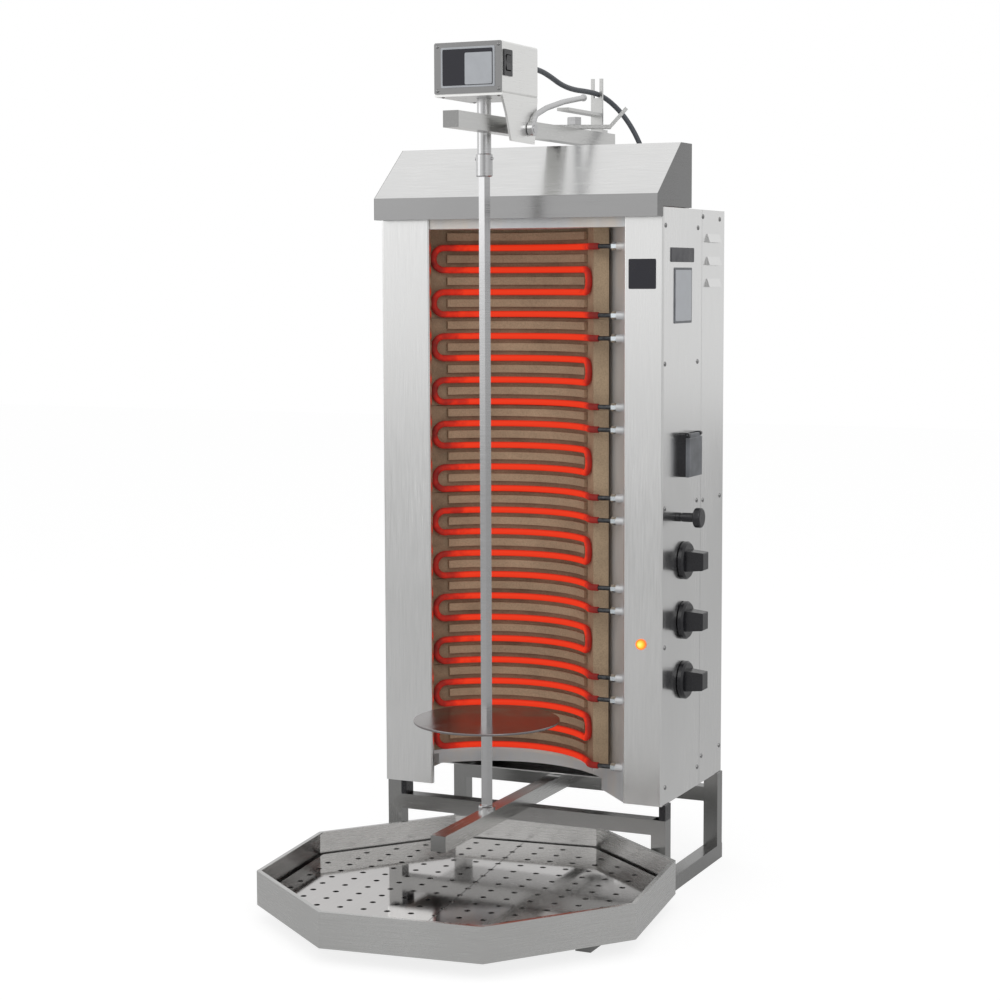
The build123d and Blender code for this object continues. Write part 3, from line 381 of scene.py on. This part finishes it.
def lit_lens(name):
    """Pilot lamp: a yellow core that turns orange and red towards the lens's rim."""
    lens_radius = 0.007
    tree, shader = new_finish(name)
    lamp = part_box("pilot_lamp")
    far, _ = distance_from_line(tree, (lamp[0] + lamp[1]) / 2, (0, 2))
    glow = ramp(tree, spread(tree, far, 0.0, 1.0, 0.0, lens_radius),
                [(0.0, (1.0, 0.86, 0.25)), (0.45, (1.0, 0.62, 0.05)),
                 (0.8, (0.95, 0.19, 0.01)), (1.0, (0.5, 0.06, 0.01))])
    tree.links.new(glow, shader.inputs["Emission Color"])
    shader.inputs["Emission Strength"].default_value = 1.1
    shader.inputs["Base Color"].default_value = (0.8, 0.2, 0.02, 1)
    shader.inputs["Roughness"].default_value = 0.18


def plate_enamel(name, colour, rough):
    """Bare plate with a faintly uneven face."""
    tree, shader = new_finish(name)
    soft = noise(tree, object_grid(tree), 60.0, 4.0, 0.55)
    tone = two_tones(tree, soft, tuple(c * 0.9 for c in colour), colour)
    tree.links.new(tone, shader.inputs["Base Color"])
    tree.links.new(over_noise(tree, soft, rough - 0.05, rough + 0.1), shader.inputs["Roughness"])


def blackened_pin(name):
    """Terminal pin: heat-blackened up to the inner nut, bright from there on."""
    outer_part, nut_length = 0.0246, 0.007
    tree, shader = new_finish(name)
    place = object_grid(tree)
    inner_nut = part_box("terminals")[1].x - outer_part - nut_length
    past = spread(tree, parts_of(tree, place)[0], 0.0, 1.0, inner_nut - 0.0004, inner_nut)
    patch = noise(tree, place, 180.0, 3.0, 0.6)
    darkened = two_tones(tree, patch, (0.035, 0.037, 0.04), (0.11, 0.115, 0.12))
    tree.links.new(blend_colours(tree, "MIX", past, darkened, (0.74, 0.80, 0.84)), shader.inputs["Base Color"])
    tree.links.new(spread(tree, past, 0.45, 0.18), shader.inputs["Roughness"])
    shader.inputs["Metallic"].default_value = 0.9


def make_finishes(sizes, colours):
    """Every finish of the grill."""
    drawn = sizes.grain_length
    # Greys painted onto chosen faces: a dark painted reflection on the hood's front band, painted shade on
    # the hood's ends and on the drive's front
    band_painted_reflection, end_painted_shade, drive_front_painted_shade = 0.38, 0.17, 0.28
    hood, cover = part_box("hood"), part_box("motor_cover")
    casing, tube, tray = tuple(colours.casing), tuple(colours.tube), tuple(colours.tray)
    brushed_steel("casing_upright", casing, "Z", drawn)
    brushed_steel("casing_across", casing, "X", drawn)
    # The hood's front band gets a dark painted reflection, and its ends get painted shade
    brushed_steel("hood_sheet", casing, "XY", drawn, darkened=(
        (band_painted_reflection, [(1, hood[0].y, -1)]), (end_painted_shade, [(0, hood[1].x, 1), (0, hood[0].x, -1)])))
    brushed_steel("tube_upright", tube, "Z", drawn)
    brushed_steel("tube_along", tube, "Y", drawn)
    brushed_steel("arm_tube", (0.64, 0.64, 0.63), "Y", drawn)
    brushed_steel("tube_across", tube, "X", drawn)
    # The drive's front face gets painted shade
    brushed_steel("drive_case", (0.9, 0.9, 0.885), "XY", drawn, (0.24, 0.34),
                  darkened=((drive_front_painted_shade, [(1, cover[0].y, -1)]),))
    brushed_steel("tray_sheet", tray, "XY", drawn, (0.2, 0.3))
    brushed_steel("polished_floor", (0.74, 0.72, 0.71), "Y", drawn, (0.04, 0.09))
    bright_bar("bright_bar", (0.60, 0.60, 0.605))
    bright_bar("dull_disc", (0.27, 0.25, 0.25))
    bright_bar("dark_screw", (0.30, 0.30, 0.30))
    heated_liner("heated_liner", (0.46, 0.41, 0.37))
    heated_liner("bright_liner", (0.72, 0.73, 0.74), 0.6)
    fireclay("fireclay", tuple(colours.brick))
    glowing_tube("glowing_tube", tuple(colours.glow))
    black_moulding("black_moulding", tuple(colours.moulding), 0.24)
    black_moulding("grey_moulding", (0.10, 0.105, 0.115), 0.4)
    cable_sheath("cable_sheath")
    lit_lens("lit_lens")
    plate_enamel("dark_plate", (0.012, 0.012, 0.02), 0.3)
    plate_enamel("pale_plate", (0.50, 0.52, 0.55), 0.4)
    blackened_pin("blackened_pin")
    brushed_steel("cast_case", (0.5, 0.5, 0.52), "Y", 2.0, (0.4, 0.6))


def paint(material, *names):
    """Give frame nodes a finish."""
    for name in names:
        mesh = nodes[name].data
        mesh.materials.clear()
        mesh.materials.append(finishes[material])


class GRILL_OT_finishes(bpy.types.Operator):
    """Give every carried-over piece of the frame its finish"""

    bl_idname = "grill.finishes"
    bl_label = "Finishes"

    def execute(self, context):
        make_finishes(context.scene.grill_sizes, context.scene.grill_colours)
        paint("casing_upright", "left_front_panel", "right_front_panel", "left_side_panel",
              "control_panel", "rear_cover")
        paint("casing_across", "decks")
        paint("hood_sheet", "hood")
        paint("tube_upright", "left_side_frame", "right_side_frame", "column")
        paint("arm_tube", "lower_arm", "upper_arm", "cable_fork", "clamp_lever")
        paint("tube_across", "cross_bars")
        paint("drive_case", "motor_housing", "motor_cover", "motor_bracket")
        paint("tray_sheet", "fat_tray")
        paint("polished_floor", "tray_floor_left", "tray_floor_right")
        paint("dull_disc", "meat_disc")
        paint("bright_bar", "drive_shaft", "spit_rod", "release_lever", "clamp_bolt",
              "pivot_bolt", "foot_bearing", "lock_block", "disc_screw")
        paint("heated_liner", "left_reflector")
        paint("bright_liner", "right_reflector", "cavity_plates", "brick_carrier")
        paint("fireclay", "bricks")
        paint("glowing_tube", *[f"element_{k}" for k in range(1, 7)])
        paint("black_moulding", "glides", "rocker_frame", "rocker", "cable_glands", "upper_knob",
              "middle_knob", "lower_knob", "socket_housing", "lock_knob", "inlet_gland",
              "heat_switches")
        paint("tube_along", "tube_caps")
        paint("grey_moulding", "socket_lid")
        paint("lit_lens", "pilot_lamp")
        paint("blackened_pin", "terminals")
        paint("cast_case", "gear_motor")
        paint("cable_sheath", "motor_cable")
        return {"FINISHED"}


# Making pieces

def into_scene(name, mesh, body, material):
    """A finished mesh as a piece that rides on a body."""
    piece = bpy.data.objects.new(name, mesh)
    bpy.context.scene.collection.objects.link(piece)
    mesh.materials.clear()
    mesh.materials.append(finishes[material])
    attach(piece, body)
    return piece


def from_bmesh(name, shape):
    """A bmesh as a new mesh with outward faces."""
    bmesh.ops.recalc_face_normals(shape, faces=shape.faces)
    mesh = bpy.data.meshes.new(name)
    shape.to_mesh(mesh)
    shape.free()
    return mesh


def settle(piece):
    """The evaluated piece as a plain mesh, its modifiers gone."""
    depsgraph = bpy.context.evaluated_depsgraph_get()
    mesh = bpy.data.meshes.new_from_object(piece.evaluated_get(depsgraph))
    mesh.name = piece.name
    bpy.data.objects.remove(piece)
    return mesh


def node_tree(name, *inputs):
    """A geometry node group with named number inputs and geometry in and out."""
    tree = bpy.data.node_groups.new(name, "GeometryNodeTree")
    tree.interface.new_socket("Geometry", in_out="INPUT", socket_type="NodeSocketGeometry")
    for label in inputs:
        tree.interface.new_socket(label, in_out="INPUT", socket_type="NodeSocketFloat")
    tree.interface.new_socket("Geometry", in_out="OUTPUT", socket_type="NodeSocketGeometry")
    return tree, tree.nodes.new("NodeGroupInput"), tree.nodes.new("NodeGroupOutput")


def grow(name, mesh, tree, inputs):
    """Run a geometry node group on a mesh and give back the plain result."""
    piece = bpy.data.objects.new(name, mesh)
    bpy.context.scene.collection.objects.link(piece)
    modifier = piece.modifiers.new("Grow", "NODES")
    modifier.node_group = tree
    sockets = {s.name: s.identifier for s in tree.interface.items_tree if s.in_out == "INPUT"}
    for label, value in inputs.items():
        modifier[sockets[label]] = value
    return settle(piece)


def point_mesh(name, places):
    """A mesh of single points, each with the way its fitting faces."""
    mesh = bpy.data.meshes.new(name)
    mesh.from_pydata([p for p, _ in places], [], [])
    facing = mesh.attributes.new("facing", "FLOAT_VECTOR", "POINT")
    for item, (_, way) in zip(facing.data, places):
        item.vector = way
    return mesh


def pan_head_tree():
    """Pan-head screws with a cross recess, one on each point."""
    # In widths of the head, which is one wide until it is scaled
    blade_length, blade_width, blade_height, blade_middle = 0.6, 0.12, 0.5, 0.55
    tree, start, end = node_tree("Pan heads", "Width", "Rise")
    new, link = tree.nodes.new, tree.links.new
    dome = new("GeometryNodeMeshUVSphere")
    dome.inputs["Segments"].default_value = 14
    dome.inputs["Rings"].default_value = 8
    dome.inputs["Radius"].default_value = 0.5
    blade = new("GeometryNodeMeshCube")
    blade.inputs["Size"].default_value = (blade_length, blade_width, blade_height)
    cross = new("GeometryNodeMeshCube")
    cross.inputs["Size"].default_value = (blade_width, blade_length, blade_height)
    recess = new("GeometryNodeJoinGeometry")
    lift = new("GeometryNodeTransform")
    lift.inputs["Translation"].default_value = (0, 0, blade_middle)
    cut = new("GeometryNodeMeshBoolean")
    cut.operation = "DIFFERENCE"
    size = new("ShaderNodeCombineXYZ")
    double = new("ShaderNodeMath")
    double.operation = "MULTIPLY"
    double.inputs[1].default_value = 2.0
    shape = new("GeometryNodeTransform")
    facing = new("GeometryNodeInputNamedAttribute")
    facing.data_type = "FLOAT_VECTOR"
    facing.inputs["Name"].default_value = "facing"
    align = new("FunctionNodeAlignRotationToVector")
    align.axis = "Z"
    place = new("GeometryNodeInstanceOnPoints")
    realize = new("GeometryNodeRealizeInstances")
    colour = new("GeometryNodeSetMaterial")
    colour.inputs["Material"].default_value = finishes["dark_screw"]
    link(blade.outputs["Mesh"], recess.inputs[0])
    link(cross.outputs["Mesh"], recess.inputs[0])
    link(recess.outputs[0], lift.inputs["Geometry"])
    link(dome.outputs["Mesh"], cut.inputs["Mesh 1"])
    link(lift.outputs[0], cut.inputs["Mesh 2"])
    link(start.outputs["Width"], size.inputs[0])
    link(start.outputs["Width"], size.inputs[1])
    link(start.outputs["Rise"], double.inputs[0])
    link(double.outputs[0], size.inputs[2])
    link(cut.outputs["Mesh"], shape.inputs["Geometry"])
    link(size.outputs[0], shape.inputs["Scale"])
    link(facing.outputs["Attribute"], align.inputs["Vector"])
    link(start.outputs["Geometry"], place.inputs["Points"])
    link(shape.outputs[0], place.inputs["Instance"])
    link(align.outputs["Rotation"], place.inputs["Rotation"])
    link(place.outputs[0], realize.inputs[0])
    link(realize.outputs[0], colour.inputs["Geometry"])
    link(colour.outputs[0], end.inputs[0])
    return tree


def perforate_tree():
    """Round holes on a square grid, cut through a sheet."""
    rows, floor_reach = 15, 0.226
    drill_sides, drill_depth = 12, 0.006
    tree, start, end = node_tree("Perforate", "Width", "Spacing", "Turn", "Middle X", "Middle Y", "Middle Z")
    new, link = tree.nodes.new, tree.links.new
    span = new("ShaderNodeMath")
    span.operation = "MULTIPLY"
    span.inputs[1].default_value = rows - 1
    grid = new("GeometryNodeMeshGrid")
    grid.inputs["Vertices X"].default_value = rows
    grid.inputs["Vertices Y"].default_value = rows
    turn = new("ShaderNodeCombineXYZ")
    middle = new("ShaderNodeCombineXYZ")
    move = new("GeometryNodeTransform")
    position = new("GeometryNodeInputPosition")
    offset = new("ShaderNodeVectorMath")
    offset.operation = "DISTANCE"
    inside = new("FunctionNodeCompare")
    inside.operation = "LESS_THAN"
    inside.inputs["B"].default_value = floor_reach
    half = new("ShaderNodeMath")
    half.operation = "MULTIPLY"
    half.inputs[1].default_value = 0.5
    drill = new("GeometryNodeMeshCylinder")
    drill.inputs["Vertices"].default_value = drill_sides
    drill.inputs["Depth"].default_value = drill_depth
    place = new("GeometryNodeInstanceOnPoints")
    realize = new("GeometryNodeRealizeInstances")
    cut = new("GeometryNodeMeshBoolean")
    cut.operation = "DIFFERENCE"
    colour = new("GeometryNodeSetMaterial")
    colour.inputs["Material"].default_value = finishes["polished_floor"]
    link(start.outputs["Spacing"], span.inputs[0])
    link(span.outputs[0], grid.inputs["Size X"])
    link(span.outputs[0], grid.inputs["Size Y"])
    link(start.outputs["Turn"], turn.inputs[2])
    for axis in range(3):
        link(start.outputs["Middle " + "XYZ"[axis]], middle.inputs[axis])
    link(grid.outputs["Mesh"], move.inputs["Geometry"])
    link(middle.outputs[0], move.inputs["Translation"])
    link(turn.outputs[0], move.inputs["Rotation"])
    link(position.outputs[0], offset.inputs[0])
    link(middle.outputs[0], offset.inputs[1])
    link(offset.outputs["Value"], inside.inputs["A"])
    link(start.outputs["Width"], half.inputs[0])
    link(half.outputs[0], drill.inputs["Radius"])
    link(move.outputs[0], place.inputs["Points"])
    link(inside.outputs[0], place.inputs["Selection"])
    link(drill.outputs["Mesh"], place.inputs["Instance"])
    link(place.outputs[0], realize.inputs[0])
    link(start.outputs["Geometry"], cut.inputs["Mesh 1"])
    link(realize.outputs[0], cut.inputs["Mesh 2"])
    link(cut.outputs["Mesh"], colour.inputs["Geometry"])
    link(colour.outputs[0], end.inputs[0])
    return tree


def rounded_plate(name, corner, across, up, depth, radius=0.0015, steps=4):
    """A thin plate with round corners and a bevelled face; corner, across and up are vectors."""
    shape = bmesh.new()
    wide, high = across.length, up.length
    ex, ey = across.normalized(), up.normalized()
    out = ex.cross(ey).normalized()
    rim = []
    for cx, cy, start in ((wide - radius, high - radius, 0), (radius, high - radius, 90),
                          (radius, radius, 180), (wide - radius, radius, 270)):
        for k in range(steps + 1):
            a = math.radians(start + 90 * k / steps)
            rim.append((cx + radius * math.cos(a), cy + radius * math.sin(a)))
    levels = [(0.0, 0.0), (0.0, depth * 0.7), (depth * 0.3, depth)]
    loops = []
    for inset, rise in levels:
        loop = []
        for px, py in rim:
            dx, dy = px - wide / 2, py - high / 2
            kx, ky = 1 - 2 * inset / wide, 1 - 2 * inset / high
            place = ex * (wide / 2 + dx * kx) + ey * (high / 2 + dy * ky) + out * rise
            loop.append(shape.verts.new(corner + place))
        loops.append(loop)
    count = len(rim)
    for lower, upper in zip(loops, loops[1:]):
        for k in range(count):
            n = (k + 1) % count
            shape.faces.new((lower[k], lower[n], upper[n], upper[k]))
    shape.faces.new(loops[-1])
    shape.faces.new(list(reversed(loops[0])))
    return from_bmesh(name, shape)


def from_spit(x, y, z):
    """A point given round the spit, in millimetres, as a place in the frame."""
    return Vector((x / 1000, y / 1000 + spit_y, z / 1000))


class GRILL_OT_cable(bpy.types.Operator):
    """Lay the drive's cable from its gland through the fork and down to the column"""

    bl_idname = "grill.cable"
    bl_label = "Cable"

    def execute(self, context):
        route = [
            (24.0, 86.0, 1071.0), (24.0, 116.0, 1071.0), (22.0, 156.0, 1066.0), (20.5, 197.0, 1058.0),
            (20.0, 240.0, 1055.0), (20.0, 286.0, 1056.2), (20.0, 331.0, 1055.6), (30.0, 354.0, 1045.0),
            (48.0, 366.0, 1022.0), (68.0, 365.0, 988.0), (80.0, 364.0, 950.0), (80.0, 362.0, 914.0),
            (64.0, 355.0, 884.0), (42.0, 355.0, 884.0),
        ]
        curve = bpy.data.curves.new("drive_cable", "CURVE")
        curve.dimensions = "3D"
        curve.bevel_depth = context.scene.grill_sizes.cable_thickness / 2
        curve.bevel_resolution = 5
        curve.resolution_u = 10
        curve.use_fill_caps = True
        spline = curve.splines.new("NURBS")
        spline.points.add(len(route) - 1)
        for point, place in zip(spline.points, route):
            point.co = (*from_spit(*place), 1.0)
        spline.order_u = 3
        spline.use_endpoint_u = True
        cable = bpy.data.objects.new("drive_cable", curve)
        context.scene.collection.objects.link(cable)
        curve.materials.append(finishes["cable_sheath"])
        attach(cable, "stand")
        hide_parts("motor_cable")
        return {"FINISHED"}


class GRILL_OT_plates(bpy.types.Operator):
    """Put the bare plates on the drive's cover, the front panel and the control panel"""

    bl_idname = "grill.plates"
    bl_label = "Bare plates"

    def execute(self, context):
        depth = context.scene.grill_sizes.plate_depth
        drive_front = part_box("motor_cover")[0].y
        # Name, lower corner in millimetres, width and height in metres, finish, body, thickness,
        # and how far the plate stands before its panel
        fronts = [
            ("drive_plate_frame", -36.5, 1037.5, 0.073, 0.049, "pale_plate", "stand", depth, 0.0),
            ("drive_plate", -34.0, 1040.0, 0.068, 0.044, "dark_plate", "stand", depth * 0.5, depth),
            ("drive_note_plate", -3.5, 1040.7, 0.0367, 0.0385, "pale_plate", "stand", depth * 0.4,
             depth * 1.5),
            ("front_plate", 153.5, 790.0, 0.037, 0.038, "dark_plate", "heater", depth, 0.0),
        ]
        for name, x, z, wide, high, material, body, thick, rise in fronts:
            corner = from_spit(x, 0, z)
            corner.y = (drive_front if body == "stand" else casing_front) - rise
            mesh = rounded_plate(name, corner, Vector((wide, 0, 0)), Vector((0, 0, high)), thick)
            into_scene(name, mesh, body, material)
        sides = [
            ("upper_side_plate", 129.0, 824.0, 0.086, 0.0185, "dark_plate", depth, 0.0),
            ("lower_side_plate_frame", 142.0, 745.5, 0.065, 0.0715, "grey_moulding", depth, 0.0),
            ("lower_side_plate", 145.0, 748.5, 0.059, 0.0655, "pale_plate", depth * 0.5, depth),
        ]
        for name, y, z, wide, high, material, thick, rise in sides:
            corner = from_spit(0, y, z)
            corner.x = casing_right + rise
            mesh = rounded_plate(name, corner, Vector((0, wide, 0)), Vector((0, 0, high)), thick)
            into_scene(name, mesh, "heater", material)
        return {"FINISHED"}


def on_face(places, axis, level, way):
    """Places moved onto a flat face across an axis, each with the way the face looks."""
    out = tuple(way if k == axis else 0 for k in range(3))
    for place in places:
        place[axis] = level
    return [(place, out) for place in places]


class GRILL_OT_screws(bpy.types.Operator):
    """Set the casing's and the drive's screws"""

    bl_idname = "grill.screws"
    bl_label = "Screws"

    def execute(self, context):
        width = context.scene.grill_sizes.screw_width
        casing_rise, drive_rise, drive_share = 0.0016, 0.0012, 0.7
        drive_underside = 1.027
        tree = pan_head_tree()
        right = [(111, 870), (232, 869), (251, 884), (318, 882), (110, 695), (232, 694),
                 (111, 510), (232, 510), (256, 508), (325, 508), (113, 330), (235, 338),
                 (117, 146), (240, 148), (256, 160), (329, 160)]
        left = [(y, z) for z in (843, 510, 160) for y in (111, 325)]
        rear = [(x, z) for x in (-170, 0, 170) for z in (150, 510, 870)]
        casing = (on_face([from_spit(0, y, z) for y, z in right], 0, casing_right, 1)
                  + on_face([from_spit(0, y, z) for y, z in left], 0, -casing_right, -1)
                  + on_face([from_spit(x, 0, z) for x, z in rear], 1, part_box("rear_cover")[1].y, 1))
        mesh = grow("casing_screws", point_mesh("casing_screws", casing), tree,
                    {"Width": width, "Rise": casing_rise})
        into_scene("casing_screws", mesh, "heater", "dark_screw")
        cover = [(x, z) for x in (-41.5, 41.5) for z in (1034.5, 1088.0)]
        under = [(-38, -38), (38, -38), (-38, 52)]
        drive = (on_face([from_spit(x, 0, z) for x, z in cover], 1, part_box("motor_cover")[0].y, -1)
                 + on_face([from_spit(x, y, 0) for x, y in under], 2, drive_underside, -1))
        mesh = grow("drive_screws", point_mesh("drive_screws", drive), tree,
                    {"Width": width * drive_share, "Rise": drive_rise})
        into_scene("drive_screws", mesh, "stand", "dark_screw")
        return {"FINISHED"}


class GRILL_OT_tray_floor(bpy.types.Operator):
    """Perforate both halves of the tray's raised floor"""

    bl_idname = "grill.tray_floor"
    bl_label = "Tray floor"

    def execute(self, context):
        sizes = context.scene.grill_sizes
        tree = perforate_tree()
        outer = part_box("fat_tray")
        middle = (outer[0] + outer[1]) / 2
        for side in ("left", "right"):
            source = nodes[f"tray_floor_{side}"]
            shape = bmesh.new()
            shape.from_mesh(source.data)
            bmesh.ops.remove_doubles(shape, verts=shape.verts, dist=1e-6)
            mesh = from_bmesh(f"perforated_{side}", shape)
            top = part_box(f"tray_floor_{side}")[1].z
            result = grow(f"perforated_{side}", mesh, tree, {
                "Width": sizes.hole_width, "Spacing": sizes.hole_spacing, "Turn": sizes.tray_turn,
                "Middle X": middle.x, "Middle Y": middle.y, "Middle Z": top})
            piece = into_scene(f"perforated_{side}", result, "tray", "polished_floor")
            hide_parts(f"tray_floor_{side}")
        return {"FINISHED"}


# Studio

def area_lamp(name, place, size, power):
    """A soft square lamp pointed at the middle of the grill."""
    aim = (0, 0, 0.5)
    lamp = bpy.data.lights.new(name, "AREA")
    lamp.shape = "SQUARE"
    lamp.size = size
    lamp.energy = power
    holder = bpy.data.objects.new(name, lamp)
    holder.location = place
    holder.rotation_euler = (Vector(aim) - Vector(place)).to_track_quat("-Z", "Y").to_euler()
    bpy.context.scene.collection.objects.link(holder)


def seen_directly(tree):
    """1 for rays from the camera, off gloss or through glass, and 1 for the camera's alone."""
    path = tree.nodes.new("ShaderNodeLightPath")
    return arithmetic(tree, "MAXIMUM", path.outputs["Is Camera Ray"],
                      arithmetic(tree, "MAXIMUM", path.outputs["Is Glossy Ray"],
                                 path.outputs["Is Transmission Ray"])), path.outputs["Is Camera Ray"]


def room_tone(tree):
    """What gloss shows of the room: pale walls left and right, dimmer ones between, a pale ceiling."""
    ceiling = 0.87
    # Towards the front panels' right, turned a little to the back
    rightward = (0.9, 0.42, 0.0)
    place = tree.nodes.new("ShaderNodeTexCoord")
    toward = tree.nodes.new("ShaderNodeVectorMath")
    toward.operation = "DOT_PRODUCT"
    toward.inputs[1].default_value = rightward
    tree.links.new(place.outputs["Generated"], toward.inputs[0])
    side = ramp(tree, spread(tree, toward.outputs["Value"], 0.0, 1.0, -1.0, 1.0),
                [(0.0, 1.0), (0.2, 0.95), (0.5, 0.36), (0.78, 0.86), (1.0, 0.62)])
    height = ramp(tree, parts_of(tree, place.outputs["Generated"])[2], [(0.06, 0.0), (0.45, 1.0)])
    return blend_colours(tree, "MIX", height, side, (ceiling, ceiling, ceiling))


def studio_world():
    """Soft even light; the camera sees white, and gloss and glass see a pale room."""
    soft_light = 0.62
    world = bpy.data.worlds.new("Studio")
    bpy.context.scene.world = world
    world.use_nodes = True
    tree = world.node_tree
    tree.nodes.clear()
    out = tree.nodes.new("ShaderNodeOutputWorld")
    light = tree.nodes.new("ShaderNodeBackground")
    light.inputs["Color"].default_value = (1, 1, 1, 1)
    light.inputs["Strength"].default_value = soft_light
    seen = tree.nodes.new("ShaderNodeBackground")
    direct, camera = seen_directly(tree)
    tree.links.new(blend_colours(tree, "MIX", camera, room_tone(tree), (1.0, 1.0, 1.0)),
                   seen.inputs["Color"])
    mix = tree.nodes.new("ShaderNodeMixShader")
    tree.links.new(direct, mix.inputs[0])
    tree.links.new(light.outputs[0], mix.inputs[1])
    tree.links.new(seen.outputs[0], mix.inputs[2])
    tree.links.new(mix.outputs[0], out.inputs["Surface"])


def pale_floor():
    """Wide paper floor that looks white and keeps the grill's shadow."""
    half, level = 9, -0.0004
    glow_for_gloss, glow_for_camera = 0.26, 0.78
    shape = bmesh.new()
    corners = ((-half, -half), (half, -half), (half, half), (-half, half))
    shape.faces.new([shape.verts.new((x, y, level)) for x, y in corners])
    floor = bpy.data.objects.new("floor", from_bmesh("floor", shape))
    bpy.context.scene.collection.objects.link(floor)
    tree, shader = new_finish("floor_paper")
    shader.inputs["Base Color"].default_value = (0.8, 0.8, 0.8, 1)
    shader.inputs["Roughness"].default_value = 0.9
    out = next(n for n in tree.nodes if n.type == "OUTPUT_MATERIAL")
    paper = tree.nodes.new("ShaderNodeBsdfDiffuse")
    grain = noise(tree, object_grid(tree), 240.0, 3.0, 0.6)
    tree.links.new(two_tones(tree, grain, 0.33, 0.35), paper.inputs["Color"])
    glow = tree.nodes.new("ShaderNodeEmission")
    direct, camera = seen_directly(tree)
    tree.links.new(spread(tree, camera, glow_for_gloss, glow_for_camera), glow.inputs["Strength"])
    both = tree.nodes.new("ShaderNodeAddShader")
    mix = tree.nodes.new("ShaderNodeMixShader")
    tree.links.new(paper.outputs[0], both.inputs[0])
    tree.links.new(glow.outputs[0], both.inputs[1])
    tree.links.new(direct, mix.inputs[0])
    tree.links.new(shader.outputs[0], mix.inputs[1])
    tree.links.new(both.outputs[0], mix.inputs[2])
    tree.links.new(mix.outputs[0], out.inputs["Surface"])
    floor.data.materials.append(finishes["floor_paper"])


def photo_camera():
    """The camera at the photograph's place and lens."""
    data = bpy.data.cameras.new("photo_camera")
    data.sensor_width = 36.0
    data.lens = 78.87
    data.clip_end = 50.0
    camera = bpy.data.objects.new("photo_camera", data)
    yaw, pitch, roll = math.radians(24.8), math.radians(-5.8), math.radians(-0.2)
    camera.rotation_euler = (Matrix.Rotation(yaw, 4, "Z") @ Matrix.Rotation(math.pi / 2 + pitch, 4, "X")
                             @ Matrix.Rotation(roll, 4, "Z")).to_euler()
    camera.location = (1.1775, -2.505 + spit_y, 0.8051)
    bpy.context.scene.collection.objects.link(camera)
    bpy.context.scene.camera = camera


class GRILL_OT_studio(bpy.types.Operator):
    """Set up the floor, the soft light and the camera"""

    bl_idname = "grill.studio"
    bl_label = "Studio"

    def execute(self, context):
        context.scene.view_settings.view_transform = "Standard"
        studio_world()
        pale_floor()
        area_lamp("key_light", (1.9, -2.4, 2.6), 2.2, 26.0)
        area_lamp("fill_light", (-2.4, -1.8, 1.8), 2.0, 10.0)
        photo_camera()
        return {"FINISHED"}


class GRILL_PT_dresser(bpy.types.Panel):
    """The dresser's sizes, colours and steps"""

    bl_idname = "GRILL_PT_dresser"
    bl_label = "Kebab grill"
    bl_space_type = "VIEW_3D"
    bl_region_type = "UI"
    bl_category = "Grill"

    def draw(self, context):
        layout = self.layout
        for group in (context.scene.grill_sizes, context.scene.grill_colours):
            box = layout.box()
            for name in group.__annotations__:
                box.prop(group, name)
        for step in steps:
            layout.operator(step.bl_idname)


steps = (
    GRILL_OT_finishes,
    GRILL_OT_studio,
    GRILL_OT_cable,
    GRILL_OT_plates,
    GRILL_OT_screws,
    GRILL_OT_tray_floor,
)
classes = (GrillSizes, GrillColours, *steps, GRILL_PT_dresser)


def register():
    """Add the classes and their settings."""
    for item in classes:
        bpy.utils.register_class(item)
    bpy.types.Scene.grill_sizes = PointerProperty(type=GrillSizes)
    bpy.types.Scene.grill_colours = PointerProperty(type=GrillColours)


def unregister():
    """Take the classes and their settings away."""
    del bpy.types.Scene.grill_sizes
    del bpy.types.Scene.grill_colours
    for item in reversed(classes):
        bpy.utils.unregister_class(item)


def main():
    """Dress the whole grill."""
    register()
    for step in steps:
        group, name = step.bl_idname.split(".")
        getattr(getattr(bpy.ops, group), name)()


if __name__ == "__main__":
    main()
